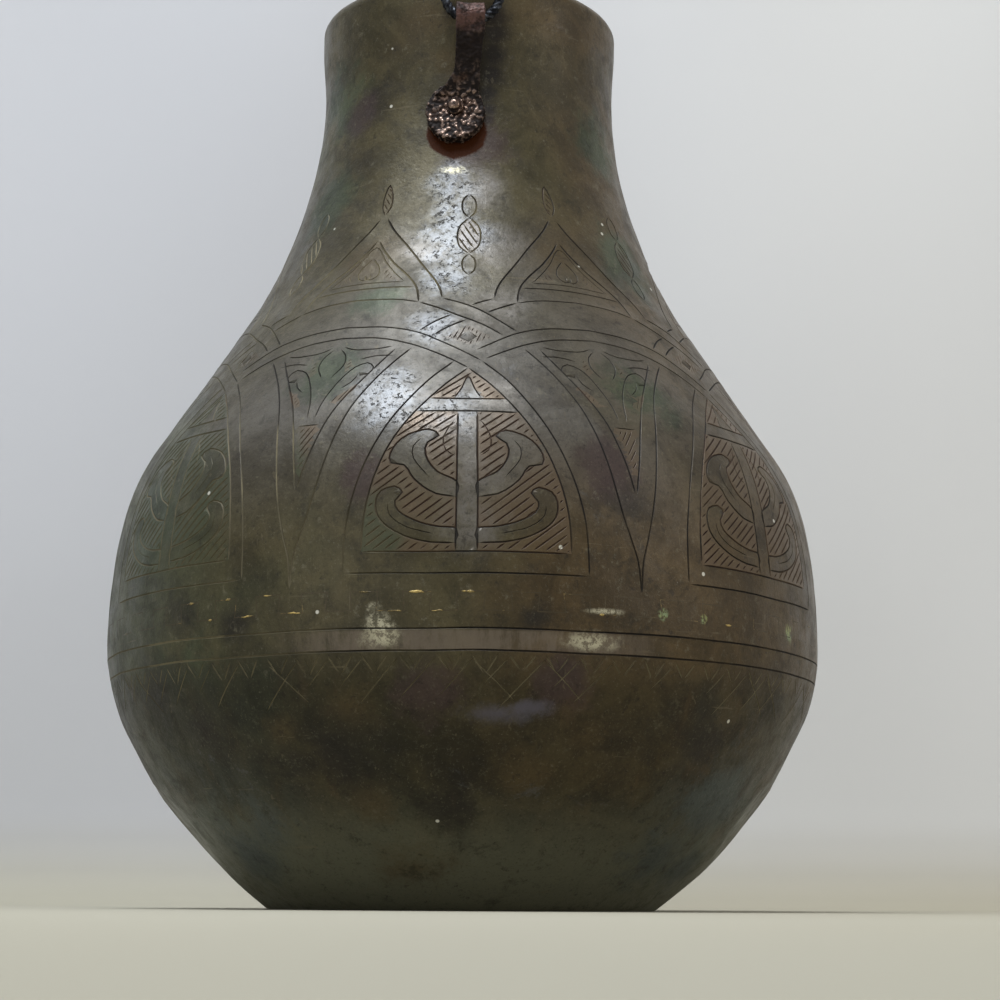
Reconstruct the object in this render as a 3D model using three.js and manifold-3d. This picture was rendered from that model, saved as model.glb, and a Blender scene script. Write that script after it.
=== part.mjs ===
// A raised copper water pot with a twisted iron bail handle.
// The bowl and the shoulder are two beaten shells, joined round the belly by a cramped seam:
// the edge of each shell is cut into dovetail tabs that lock between the tabs of the other.
// The lip is rolled inwards over an iron wire. Two forged lugs are riveted to the neck,
// and the bail swings in their eyes on a ring at each end.
// Millimetres, +Z up, origin in the middle of the base. The front lug is on the -Y side.
import * as THREE from 'three';
import { mergeVertices } from 'three/addons/utils/BufferGeometryUtils.js';
import Module from 'manifold-3d';

const wasm = await Module();
wasm.setup();

const degree = Math.PI / 180;
const clearance = 0.3;

// Copper body
const wall = 1.4;
const baseRadius = 81;
const baseAngle = 36.5;
const bellyRadius = 150.5;
const bellyHeight = 110;
const flankAngle = 33.2;
const flankFootRadius = 133;
const flankFootHeight = 190.3;
const flankLength = 68.9;
const neckRadius = 64.1;
const neckHeight = 351;
const lipRadius = 65.5;
const rollHeight = 384;
const rollRadius = 5.5;
const rollSweep = 290;

// How far each curve of the side runs on before it turns, as shares of its height
const baseEase = 0.25;
const bowlEase = 0.455;
const shoulderEase = 0.49;
const flankEase = 0.27;
const throatEase = 0.276;
const neckEase = 0.343;
const lipEase = 1 / 3;

// Cramped seam round the belly
const seamHeight = 111;
const tabHeight = 7;
const tabCount = 48;
const tabShare = 0.5;
const tabFlare = 1.6;

// Twisted iron bail and its end rings; the rings hang beside the lip, clear of it
const ringDrop = 6;
const ringStandOff = 6.9;
const ringRadius = 11.6;
const ringBar = 2.1;
const ringQuarterTurns = 16;
const bailRise = 82;
const bailEndBar = 2.3;
const bailGripBar = 4;
const bailQuarterTurns = 44;
const knuckleRadius = 3.6;

// Forged lugs; each head sits a little to one side of its eye
const lugLength = 40.4;
const eyeIron = 2.7;
const eyeWidth = 11.7;
const eyeOffset = -0.8;
const headOffset = -6.5;
const headRadius = 12.3;
const headThickness = 4;
const strapThickness = 3.2;
const strapFootWidth = 18.4;
const waistWidth = 10.4;
const waistOffset = -1.8;

// Rivets and the roves inside the neck
const rivetRise = 1.5;
const shankRadius = 2.4;
const rivetHeadRadius = 4;
const rivetHeadHeight = 2.6;
const peenRadius = 3.6;
const peenHeight = 1.6;
const roveRadius = 6;
const roveThickness = 1.5;

// Facets
const aroundBody = 48;
const aroundRivet = 12;
const stepsPerTurn = 3;

// Solids for joining and cutting
function toSolid(geometry) {
  const bare = geometry.clone();
  bare.deleteAttribute('normal');
  bare.deleteAttribute('uv');
  const merged = mergeVertices(bare, 1e-4);
  const corners = merged.index.array;
  const kept = [];
  for (let i = 0; i < corners.length; i += 3) {
    const [a, b, c] = [corners[i], corners[i + 1], corners[i + 2]];
    if (a !== b && b !== c && c !== a) kept.push(a, b, c);
  }
  return new wasm.Manifold(new wasm.Mesh({
    numProp: 3,
    vertProperties: merged.attributes.position.array,
    triVerts: new Uint32Array(kept),
  }));
}

function toGeometry(solid) {
  const mesh = solid.getMesh();
  const geometry = new THREE.BufferGeometry();
  geometry.setAttribute('position', new THREE.BufferAttribute(mesh.vertProperties, 3));
  geometry.setIndex(new THREE.BufferAttribute(mesh.triVerts, 1));
  geometry.computeVertexNormals();
  return geometry;
}

// A lathe round the Z axis; the profile runs up the outside and down the inside
function revolve(profile) {
  return new THREE.LatheGeometry(profile, aroundBody).rotateX(Math.PI / 2);
}

function point(radius, height) {
  return new THREE.Vector2(radius, height);
}

// Outer side of the pot from the base corner to the start of the rolled lip
function sideCurves() {
  const lean = flankAngle * degree;
  const flankRun = point(-Math.sin(lean), Math.cos(lean));
  const flankFoot = point(flankFootRadius, flankFootHeight);
  const flankTop = flankFoot.clone().addScaledVector(flankRun, flankLength);
  const baseCorner = point(baseRadius, 0);
  const belly = point(bellyRadius, bellyHeight);
  const neck = point(neckRadius, neckHeight);
  const baseRun = point(Math.cos(baseAngle * degree), Math.sin(baseAngle * degree));
  const lip = point(lipRadius, rollHeight);
  const shoulder = flankFootHeight - bellyHeight;
  const throat = neckHeight - flankTop.y;
  const collar = rollHeight - neckHeight;
  return [
    new THREE.CubicBezierCurve(
      baseCorner,
      baseCorner.clone().addScaledVector(baseRun, bellyHeight * baseEase),
      point(bellyRadius, bellyHeight * (1 - bowlEase)),
      belly,
    ),
    new THREE.CubicBezierCurve(
      belly,
      point(bellyRadius, bellyHeight + shoulder * shoulderEase),
      flankFoot.clone().addScaledVector(flankRun, -shoulder * flankEase),
      flankFoot,
    ),
    new THREE.LineCurve(flankFoot, flankTop),
    new THREE.CubicBezierCurve(
      flankTop,
      flankTop.clone().addScaledVector(flankRun, throat * throatEase),
      point(neckRadius, neckHeight - throat * neckEase),
      neck,
    ),
    new THREE.CubicBezierCurve(
      neck,
      point(neckRadius, neckHeight + collar * lipEase),
      point(lipRadius, rollHeight - collar * lipEase),
      lip,
    ),
  ];
}

function joinedPoints(curves, steps) {
  const line = [];
  curves.forEach((curve, i) => {
    curve.getPoints(steps[i]).forEach((p, k) => {
      if (line.length === 0 || k > 0) line.push(p);
    });
  });
  return line;
}

// The same line moved sideways; a positive distance moves it away from the axis
function offsetLine(line, distance) {
  return line.map((p, i) => {
    const before = line[Math.max(i - 1, 0)];
    const after = line[Math.min(i + 1, line.length - 1)];
    const run = after.clone().sub(before).normalize();
    return point(p.x + run.y * distance, p.y - run.x * distance);
  });
}

function radiusAt(line, height) {
  const i = Math.max(1, line.findIndex((p) => p.y >= height));
  const [low, high] = [line[i - 1], line[i]];
  return low.x + ((high.x - low.x) * (height - low.y)) / (high.y - low.y);
}

function between(line, low, high) {
  return line.filter((p) => p.y > low + wall && p.y < high - wall);
}

const outside = joinedPoints(sideCurves(), [7, 4, 1, 5, 2]);
const inside = offsetLine(outside, -wall);

// A hexahedron between two angles, cut radially through the wall: one tab, or one gap
function tabWedge(middle, lowHalf, highHalf, low, high) {
  const reach = bellyRadius + 4 * wall;
  const depth = 8 * wall;
  const wedge = new THREE.BoxGeometry(1, 1, 1);
  const place = wedge.attributes.position;
  for (let i = 0; i < place.count; i += 1) {
    const top = place.getZ(i) > 0;
    const angle = middle + Math.sign(place.getX(i)) * (top ? highHalf : lowHalf);
    const radius = place.getY(i) < 0 ? reach : reach - depth;
    place.setXYZ(i, radius * Math.sin(angle), -radius * Math.cos(angle), top ? high : low);
  }
  return toSolid(wedge);
}

// The tabs of one shell, or with a half-pitch shift the gaps between them.
// The seam line zigzags; each shell stops half a clearance short of it.
const pitch = (2 * Math.PI) / tabCount;
const halfGap = clearance / 2 / bellyRadius;
const tabFoot = seamHeight - tabHeight / 2;
const tabTip = seamHeight + tabHeight / 2;

function cutTabs(shell, ofBowl) {
  const root = (pitch * tabShare) / 2 - tabFlare / 4 / bellyRadius;
  const tip = root + tabFlare / 2 / bellyRadius;
  const bite = clearance / 2;
  for (let i = 0; i < tabCount; i += 1) {
    const wedge = ofBowl
      ? tabWedge((i + 0.5) * pitch, pitch / 2 - root + halfGap, pitch / 2 - tip + halfGap,
        tabFoot - bite, tabTip + wall)
      : tabWedge(i * pitch, root + halfGap, tip + halfGap, tabFoot - wall, tabTip + bite);
    shell = shell.subtract(wedge);
  }
  return shell;
}

// Raised bowl: flat base, round belly, tabs along its upper edge
function lowerBowl() {
  const top = tabTip - clearance / 2;
  const outer = between(outside, 0, top);
  const inner = between(inside, wall, top).reverse();
  const innerCorner = inside.find((p) => p.y > wall);
  const profile = [
    point(0, 0),
    point(baseRadius, 0),
    ...outer,
    point(radiusAt(outside, top), top),
    point(radiusAt(inside, top), top),
    ...inner,
    point(innerCorner.x - (innerCorner.y - wall) / Math.tan(baseAngle * degree), wall),
    point(0, wall),
  ];
  return cutTabs(toSolid(revolve(profile)), true);
}

// Shoulder, flank and neck in one shell, with the lip rolled inwards over its wire
const rollCentre = point(lipRadius - rollRadius, rollHeight);

function arcPoints(centre, radius, from, to, steps) {
  const line = [];
  for (let i = 0; i <= steps; i += 1) {
    const angle = (from + ((to - from) * i) / steps) * degree;
    line.push(point(centre.x + radius * Math.cos(angle), centre.y + radius * Math.sin(angle)));
  }
  return line;
}

function upperBody() {
  const bottom = tabFoot + clearance / 2;
  const rollSteps = 8;
  const profile = [
    point(radiusAt(outside, bottom), bottom),
    ...between(outside, bottom, rollHeight),
    ...arcPoints(rollCentre, rollRadius, 0, rollSweep, rollSteps),
    ...arcPoints(rollCentre, rollRadius - wall, rollSweep, 0, rollSteps),
    ...between(inside, bottom, rollHeight).reverse(),
    point(radiusAt(inside, bottom), bottom),
  ];
  profile.push(profile[0].clone());
  return cutTabs(toSolid(revolve(profile)), false);
}

function rimWire() {
  const wireRadius = rollRadius - wall - clearance;
  return toSolid(revolve(arcPoints(rollCentre, wireRadius, 0, 360, 6)));
}

// A plain solid of revolution that fills the pot out to its wall, moved by a distance
function filledTo(line, distance) {
  const moved = offsetLine(line, distance).filter((p) => p.y > 0 && p.y < rollHeight);
  const [first, last] = [moved[0], moved[moved.length - 1]];
  return toSolid(revolve([point(0, first.y), ...moved, point(0, last.y)]));
}

// Front lug: a round head beaten to the curve of the neck, and a strap that rises from it
// and rolls over into the eye
const wallAt = (height) => radiusAt(outside, height);
const hingeHeight = rollHeight - ringDrop;
const hingeReach = lipRadius + ringStandOff;
const eyeReach = eyeWidth / 2 + Math.abs(eyeOffset);
const eyeSag = ringRadius - Math.sqrt(ringRadius ** 2 - eyeReach ** 2);
const eyeHeight = hingeHeight - ringRadius + eyeSag / 2;
const eyeBore = ringBar + eyeSag / 2 + clearance;
const eyeOuter = eyeBore + eyeIron;
const headHeight = eyeHeight - lugLength;
const rivetHeight = headHeight + rivetRise;

// Moves a shape made round its own Y axis onto the outer wall, with Y pointing out of it
function onWall(geometry, height) {
  const slope = (wallAt(height + wall) - wallAt(height - wall)) / (2 * wall);
  const azimuth = Math.asin(headOffset / wallAt(height));
  const out = new THREE.Vector3(Math.sin(azimuth), -Math.cos(azimuth), -slope).normalize();
  const along = new THREE.Vector3(Math.cos(azimuth), Math.sin(azimuth), 0);
  const foot = new THREE.Vector3(headOffset, -wallAt(height) * Math.cos(azimuth), height);
  const basis = new THREE.Matrix4().makeBasis(along, out, along.clone().cross(out));
  return toSolid(geometry.applyMatrix4(basis.setPosition(foot)));
}

function pinThroughWall(radius, height, length) {
  return onWall(new THREE.CylinderGeometry(radius, radius, length, aroundRivet), height);
}

function lugHead() {
  const disc = new THREE.CylinderGeometry(headRadius, headRadius, 6 * headThickness, 2 * aroundRivet);
  return onWall(disc, headHeight).intersect(filledTo(outside, clearance + headThickness));
}

// The strap leaves the head above the rivet and leans out to the front of the eye
const strapFoot = rivetHeight + rivetHeadRadius + strapThickness / 2;
const strapTop = eyeHeight - eyeOuter;
const waistHeight = (strapFoot + strapTop) / 2;

function strapSideView() {
  const shape = new THREE.Shape();
  shape.moveTo(-wallAt(strapFoot), strapFoot);
  shape.lineTo(-wallAt(strapFoot) - headThickness, strapFoot);
  shape.lineTo(-hingeReach - eyeOuter, eyeHeight);
  shape.lineTo(-hingeReach - eyeBore, eyeHeight);
  shape.lineTo(-wallAt(strapFoot + strapThickness), strapFoot + strapThickness);
  shape.closePath();
  return shape;
}

function strapFrontView() {
  const strapHalf = eyeWidth / 2;
  const waistHalf = waistWidth / 2;
  const footHalf = strapFootWidth / 2;
  const bend = strapFoot + (waistHeight - strapFoot) / 2;
  const shape = new THREE.Shape();
  shape.moveTo(headOffset - footHalf, strapFoot);
  shape.lineTo(headOffset + footHalf, strapFoot);
  shape.quadraticCurveTo(waistOffset + waistHalf, bend, waistOffset + waistHalf, waistHeight);
  shape.lineTo(eyeOffset + strapHalf, strapTop);
  shape.lineTo(eyeOffset + strapHalf, eyeHeight);
  shape.lineTo(eyeOffset - strapHalf, eyeHeight);
  shape.lineTo(eyeOffset - strapHalf, strapTop);
  shape.lineTo(waistOffset - waistHalf, waistHeight);
  shape.quadraticCurveTo(waistOffset - waistHalf, bend, headOffset - footHalf, strapFoot);
  return shape;
}

function strap() {
  const wide = 4 * headRadius;
  const side = new THREE.ExtrudeGeometry(strapSideView(), { depth: wide, bevelEnabled: false });
  side.translate(0, 0, -wide / 2);
  side.applyMatrix4(new THREE.Matrix4().makeBasis(
    new THREE.Vector3(0, 1, 0), new THREE.Vector3(0, 0, 1), new THREE.Vector3(1, 0, 0)));
  const front = new THREE.ExtrudeGeometry(strapFrontView(), {
    depth: 2 * hingeReach, bevelEnabled: false, curveSegments: 6,
  });
  front.rotateX(Math.PI / 2);
  return toSolid(side).intersect(toSolid(front));
}

// A bar along X through the middle of the eye
function eyeBar(radius, width) {
  const bar = new THREE.CylinderGeometry(radius, radius, width, 2 * aroundRivet).rotateZ(Math.PI / 2);
  return toSolid(bar.translate(eyeOffset, -hingeReach, eyeHeight));
}

function lug() {
  return strap().add(lugHead()).add(eyeBar(eyeOuter, eyeWidth))
    .subtract(eyeBar(eyeBore, 2 * eyeWidth))
    .subtract(filledTo(outside, clearance))
    .subtract(rivetHole());
}

function rivetHole() {
  return pinThroughWall(shankRadius + clearance, rivetHeight, 8 * headThickness);
}

// Rivet: domed head on the lug, shank through lug, wall and rove, peened head inside the neck
const lugFace = clearance + headThickness;
const roveFace = -wall - clearance - roveThickness;

function domePoints(radius, foot, height) {
  const steps = 4;
  const line = [];
  for (let i = 0; i < steps; i += 1) {
    const angle = (Math.PI / 2 / steps) * i;
    line.push(point(radius * Math.cos(angle), foot + height * Math.sin(angle)));
  }
  line.push(point(0, foot + height));
  return line;
}

function rivet() {
  const under = lugFace + clearance;
  const inner = roveFace - clearance;
  const profile = [
    ...domePoints(peenRadius, inner, -peenHeight).reverse(),
    point(shankRadius, inner),
    point(shankRadius, under),
    ...domePoints(rivetHeadRadius, under, rivetHeadHeight),
  ];
  return onWall(new THREE.LatheGeometry(profile, aroundRivet), rivetHeight);
}

function rove() {
  const disc = new THREE.CylinderGeometry(roveRadius, roveRadius, roveThickness + wall, aroundRivet);
  disc.translate(0, roveFace + (roveThickness + wall) / 2, 0);
  return onWall(disc, rivetHeight)
    .intersect(filledTo(inside, -clearance))
    .subtract(rivetHole());
}

// A square bar that twists as it follows a curve in a plane.
// centre(t), run(t) and bar(t) give its place, direction and half diagonal for t from 0 to 1.
function twistedBar({ centre, run, bar, flat, quarterTurns, closed }) {
  const steps = quarterTurns * stepsPerTurn;
  const rows = closed ? steps : steps + 1;
  const corners = 4;
  const place = [];
  const faces = [];
  for (let i = 0; i < rows; i += 1) {
    const t = i / steps;
    const across = new THREE.Vector3().crossVectors(flat, run(t)).normalize();
    for (let k = 0; k < corners; k += 1) {
      const angle = (k + quarterTurns * t) * (Math.PI / 2);
      const p = centre(t)
        .addScaledVector(across, bar(t) * Math.cos(angle))
        .addScaledVector(flat, bar(t) * Math.sin(angle));
      place.push(p.x, p.y, p.z);
    }
  }
  const shift = closed ? quarterTurns % corners : 0;
  for (let i = 0; i < steps; i += 1) {
    const next = (i + 1) % rows;
    const turn = next === 0 ? shift : 0;
    for (let k = 0; k < corners; k += 1) {
      const a = i * corners + k;
      const b = i * corners + ((k + 1) % corners);
      const c = next * corners + ((k + 1 + turn) % corners);
      const d = next * corners + ((k + turn) % corners);
      faces.push(a, b, c, a, c, d);
    }
  }
  if (!closed) {
    const last = (rows - 1) * corners;
    faces.push(0, 2, 1, 0, 3, 2);
    faces.push(last, last + 1, last + 2, last, last + 2, last + 3);
  }
  const geometry = new THREE.BufferGeometry();
  geometry.setAttribute('position', new THREE.Float32BufferAttribute(place, 3));
  geometry.setIndex(faces);
  return toSolid(geometry);
}

const ringTop = hingeHeight + ringRadius;

function bailRing(side) {
  return twistedBar({
    centre: (t) => new THREE.Vector3(
      ringRadius * Math.sin(2 * Math.PI * t),
      side * hingeReach,
      hingeHeight + ringRadius * Math.cos(2 * Math.PI * t),
    ),
    run: (t) => new THREE.Vector3(Math.cos(2 * Math.PI * t), 0, -Math.sin(2 * Math.PI * t)),
    bar: () => ringBar,
    flat: new THREE.Vector3(0, 1, 0),
    quarterTurns: ringQuarterTurns,
    closed: true,
  });
}

function bailArch() {
  return twistedBar({
    centre: (t) => new THREE.Vector3(
      0,
      -hingeReach * Math.cos(Math.PI * t),
      ringTop + bailRise * Math.sin(Math.PI * t),
    ),
    run: (t) => new THREE.Vector3(
      0, hingeReach * Math.sin(Math.PI * t), bailRise * Math.cos(Math.PI * t),
    ).normalize(),
    bar: (t) => bailEndBar + (bailGripBar - bailEndBar) * Math.sin(Math.PI * t),
    flat: new THREE.Vector3(1, 0, 0),
    quarterTurns: bailQuarterTurns,
    closed: false,
  });
}

function bail() {
  let whole = bailArch();
  for (const side of [-1, 1]) {
    const knuckle = new THREE.SphereGeometry(knuckleRadius, 10, 6);
    knuckle.translate(0, side * hingeReach, ringTop);
    whole = whole.add(bailRing(side)).add(toSolid(knuckle));
  }
  return whole;
}

// Materials
const copper = { color: 0x4a4536, roughness: 0.42, metalness: 0.85 };
const rustyIron = { color: 0x4b352b, roughness: 0.75, metalness: 0.6 };
const blackIron = { color: 0x23242a, roughness: 0.55, metalness: 0.7 };

function piece(name, solid, finish, turn = 0) {
  const mesh = new THREE.Mesh(toGeometry(solid), new THREE.MeshStandardMaterial(finish));
  mesh.name = name;
  mesh.rotation.z = turn;
  return mesh;
}

const pot = new THREE.Group();
const holes = rivetHole().add(rivetHole().rotate([0, 0, 180]));
pot.add(piece('lower_bowl', lowerBowl(), copper));
pot.add(piece('upper_body', upperBody().subtract(holes), copper));
pot.add(piece('rim_wire', rimWire(), rustyIron));
for (const [end, turn] of [['front', 0], ['rear', Math.PI]]) {
  pot.add(piece(`lug_${end}`, lug(), rustyIron, turn));
  pot.add(piece(`rivet_${end}`, rivet(), rustyIron, turn));
  pot.add(piece(`rove_${end}`, rove(), copper, turn));
}
pot.add(piece('bail', bail(), blackIron));

export default pot;
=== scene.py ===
# %% [markdown]
# # A beaten copper water pot with a twisted iron bail
#
# The pot is two raised copper shells locked together by dovetail tabs, engraved by hand, with two
# forged iron lugs riveted to the neck and a bail whose rings run in the lugs' eyes. The measured
# model gives every place and size, and this notebook gives the pieces their surface: beaten and
# engraved copper, scaly iron, and a patina with worn tin on it.

# %% Load the measured pot
import bisect
import math
import random

import bmesh
import bpy
from mathutils import Matrix, Vector, geometry, kdtree, noise


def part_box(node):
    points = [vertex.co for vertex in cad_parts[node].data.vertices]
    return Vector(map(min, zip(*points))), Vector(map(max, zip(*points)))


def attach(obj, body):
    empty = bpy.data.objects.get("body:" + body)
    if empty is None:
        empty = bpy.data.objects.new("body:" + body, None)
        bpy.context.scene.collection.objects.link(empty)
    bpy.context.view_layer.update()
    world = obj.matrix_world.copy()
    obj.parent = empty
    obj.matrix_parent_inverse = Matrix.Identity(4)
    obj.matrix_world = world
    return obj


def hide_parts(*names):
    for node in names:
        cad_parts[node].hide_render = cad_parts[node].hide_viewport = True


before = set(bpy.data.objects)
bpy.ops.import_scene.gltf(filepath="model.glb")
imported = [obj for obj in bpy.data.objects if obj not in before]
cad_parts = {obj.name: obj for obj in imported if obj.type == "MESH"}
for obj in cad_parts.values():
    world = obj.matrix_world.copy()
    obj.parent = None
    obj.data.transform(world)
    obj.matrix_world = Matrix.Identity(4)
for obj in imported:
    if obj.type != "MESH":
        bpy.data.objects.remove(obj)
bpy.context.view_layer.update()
MM = 0.001

# %% [markdown]
# ## The camera
#
# The photograph was taken from just above the table, about a metre away, tilted up by ten degrees:
# that is why the pot's base looks straight and its belly looks so full. The lens and the distance
# were worked out from the engraved rings, which show how far above the eye each height stands.

# %% Place the camera at the photograph's angle
CAMERA_AWAY = 0.9465
CAMERA_SIDE = math.radians(1.0)
CAMERA_HEADING = math.radians(1.92)
CAMERA_TILT = math.radians(10.315)
CAMERA_ROLL = math.radians(0.34)

lens = bpy.data.cameras.new("photo_lens")
lens.sensor_width = 36.0
lens.lens = 79.62
lens.clip_start = 0.01
camera = bpy.data.objects.new("photo_camera", lens)
bpy.context.collection.objects.link(camera)
camera.matrix_world = (
    Matrix.Translation((-CAMERA_AWAY * math.sin(CAMERA_SIDE), -CAMERA_AWAY * math.cos(CAMERA_SIDE), 0.0033))
    @ Matrix.Rotation(-CAMERA_HEADING, 4, "Z")
    @ Matrix.Rotation(math.pi / 2 + CAMERA_TILT, 4, "X")
    @ Matrix.Rotation(CAMERA_ROLL, 4, "Z")
)
bpy.context.scene.camera = camera
print("camera", tuple(round(v, 3) for v in camera.matrix_world.translation))

# %% [markdown]
# ## The side of the pot
#
# A raised pot is turned against the hammer, so one curve drawn from base to lip gives the whole
# wall. It could be drawn with a curve object, but four Bezier pieces with the measured sizes are
# easy to read and give the radius and the outward direction at any way up the wall. That way, in
# millimetres along the copper, is what the engraver works in too.

# %% Draw the side curve, in millimetres
WALL = 1.4
BELLY_RADIUS = 150.5
BELLY_HEIGHT = 110
NECK_RADIUS = 64.1
NECK_HEIGHT = 351


def side_curve():
    lean = math.radians(33.2)
    foot_lean = math.radians(36.5)
    up_flank = Vector((-math.sin(lean), math.cos(lean)))
    off_base = Vector((math.cos(foot_lean), math.sin(foot_lean)))
    base, flank_foot, lip = Vector((81, 0)), Vector((133, 190.3)), Vector((65.5, 384))
    belly, neck = Vector((BELLY_RADIUS, BELLY_HEIGHT)), Vector((NECK_RADIUS, NECK_HEIGHT))
    flank_top = flank_foot + 68.9 * up_flank
    bends = [
        (base, base + 27.5 * off_base, Vector((BELLY_RADIUS, 59.95)), belly),
        (belly, Vector((BELLY_RADIUS, 149.35)), flank_foot - 21.7 * up_flank, flank_foot),
        (flank_foot, flank_foot + 20 * up_flank, flank_top - 20 * up_flank, flank_top),
        (flank_top, flank_top + 28.4 * up_flank, Vector((NECK_RADIUS, 315.65)), neck),
        (neck, Vector((NECK_RADIUS, 362)), Vector((65.5, 373)), lip),
    ]
    curve = [base]
    for start, pull, push, end in bends:
        curve += geometry.interpolate_bezier(start, pull, push, end, 61)[1:]
    return curve


side = side_curve()
ways = [0.0]
for low, high in zip(side, side[1:]):
    ways.append(ways[-1] + (high - low).length)
heights = [p.y for p in side]
print("the wall is", round(ways[-1]), "mm from base to lip")


# %% Find places on the wall
def way_at(height):
    i = min(max(bisect.bisect(heights, height), 1), len(side) - 1)
    share = (height - heights[i - 1]) / (heights[i] - heights[i - 1])
    return ways[i - 1] + share * (ways[i] - ways[i - 1])


def section_at(way):
    i = min(max(bisect.bisect(ways, way), 1), len(side) - 1)
    run = side[i] - side[i - 1]
    share = (way - ways[i - 1]) / run.length
    run.normalize()
    return side[i - 1] + share * (ways[i] - ways[i - 1]) * run, Vector((run.y, -run.x))


def on_wall(angle, way, deep=0.0):
    """A point of the wall in millimetres. The angle runs from the front (-Y) toward +X."""
    spot, out = section_at(way)
    radius = spot.x - deep * out.x
    return Vector((radius * math.sin(angle), -radius * math.cos(angle), spot.y - deep * out.y))


for name, height in (("belly", BELLY_HEIGHT), ("neck", NECK_HEIGHT)):
    print(name, "radius", round(section_at(way_at(height))[0].x, 1))

# %% [markdown]
# ## The engraver's hand
#
# The ornament is cut with a pushed graver: each line is a V-shaped furrow, thin where the tool
# enters and leaves. It could be painted on, or pressed in with a bump map, but cut lines catch the
# light on one side and hold dirt in the other, from every angle, so here they are really cut. A
# furrow is kept as its middle line, with a half width at each point of it.

# %% Record one furrow
PANELS = 7
PITCH = 360 / PANELS
FIRST_PANEL = -0.75
STEP = 2.3
FULL_TURN = 2 * math.pi
furrows = []
grounds = []


def drawn(points, step=STEP):
    """A smooth line through a few (degree, height) points, as (radian, way) points."""
    knots = [Vector((math.radians(angle), way_at(height))) for angle, height in points]
    line = []
    for i in range(len(knots) - 1):
        before, start, end = knots[max(i - 1, 0)], knots[i], knots[i + 1]
        after = knots[min(i + 2, len(knots) - 1)]
        radius = section_at(start.y)[0].x
        reach = math.hypot((end.x - start.x) * radius, end.y - start.y)
        span = (end - start).length
        pull = (end - before) * span / (3 * (span + (start - before).length))
        push = (after - start) * span / (3 * (span + (after - end).length))
        count = max(1, round(reach / step))
        line += geometry.interpolate_bezier(start, start + pull, end - push, end, count + 1)[:-1]
    return line + [knots[-1]]


def cut(line, width=0.8, enter=2.2, leave=2.2):
    """Keeps a furrow. It narrows to nothing over the first and last millimetres."""
    radius = [section_at(p.y)[0].x for p in line]
    along = [0.0]
    for i in range(1, len(line)):
        step = line[i] - line[i - 1]
        along.append(along[-1] + math.hypot(step.x * radius[i], step.y))
    halves = []
    for here in along:
        start = min(1.0, here / enter) if enter else 1.0
        end = min(1.0, (along[-1] - here) / leave) if leave else 1.0
        halves.append(width / 2 * math.sqrt(max(start * end, 0.0)))
    furrows.append((line, halves))


def place(points, panel, mirror=1):
    """Moves a panel's own (degree, height) points to its place round the pot."""
    turn = FIRST_PANEL + panel * PITCH
    return [(turn + mirror * angle, height) for angle, height in points]


print("an arch takes", round(PITCH, 2), "degrees")

# %% [markdown]
# ## Hatching
#
# The ground between the leaves is filled with short parallel cuts, so that the plain metal of the
# leaves stands out. A hatch is laid over an outline and each cut is kept only where it is inside
# the outline and outside the leaves, with a little air left at both ends and an unsteady hand.


# %% Fill an outline with hatching
def crossings(low, high, outline):
    for a, b in zip(outline, outline[1:] + outline[:1]):
        run, edge = high - low, b - a
        flat = run.x * edge.y - run.y * edge.x
        if abs(flat) > 1e-12:
            gap = a - low
            along = (gap.x * edge.y - gap.y * edge.x) / flat
            across = (gap.x * run.y - gap.y * run.x) / flat
            if 0 <= across < 1:
                yield along


def inside(spot, outline):
    return sum(1 for t in crossings(spot, spot + Vector((1, 0.0003)), outline) if t > 0) % 2 == 1


def hatch(ground, leaves, slope, spacing, width, rng, least=2.2):
    """Cuts parallel lines over the ground, between the leaves. All are (radian, way) outlines."""
    first = len(furrows)
    middle = sum(ground, Vector((0, 0))) / len(ground)
    radius = section_at(middle.y)[0].x
    scale = Vector((radius, 1.0))
    flat = [[(p - middle) * scale for p in shape] for shape in [ground, *leaves]]
    run = Vector((math.cos(math.radians(slope)), math.sin(math.radians(slope))))
    side_step = Vector((-run.y, run.x))
    reach = max(p.length for p in flat[0])
    offset = -reach + spacing * rng.uniform(0.3, 0.7)
    while offset < reach:
        start = side_step * offset - run * reach
        end = side_step * (offset + rng.uniform(-0.2, 0.2)) + run * reach
        marks = sorted(t for shape in flat for t in crossings(start, end, shape))
        whole = (end - start).length
        for a, b in zip(marks, marks[1:]):
            spot = start.lerp(end, (a + b) / 2)
            trim = rng.uniform(0.45, 0.9) / whole
            if (b - a) * whole < least or not inside(spot, flat[0]):
                continue
            if any(inside(spot, leaf) for leaf in flat[1:]):
                continue
            ends = [start.lerp(end, a + trim), start.lerp(end, b - trim)]
            line = [Vector((p.x / radius, p.y)) + middle for p in ends]
            count = max(2, round((b - a) * whole / STEP))
            cut([line[0].lerp(line[1], i / count) for i in range(count + 1)], width, 1.2, 1.2)
        offset += spacing * rng.uniform(0.88, 1.12)
    grounds.append((ground, leaves, range(first, len(furrows))))


# %% [markdown]
# ## The straps
#
# The pattern is strapwork, an old and common ornament: ribbons with a line on each edge, that pass
# over and under each other. Seven pointed arches stand round the belly. The ribbon of each arch
# runs on over its top into the swag beside it, and a second, outer ribbon climbs to the neck. The
# lines are written for the right half of one arch and mirrored for the left; where a ribbon passes
# under, its lines stop at the edge of the one above.

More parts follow.
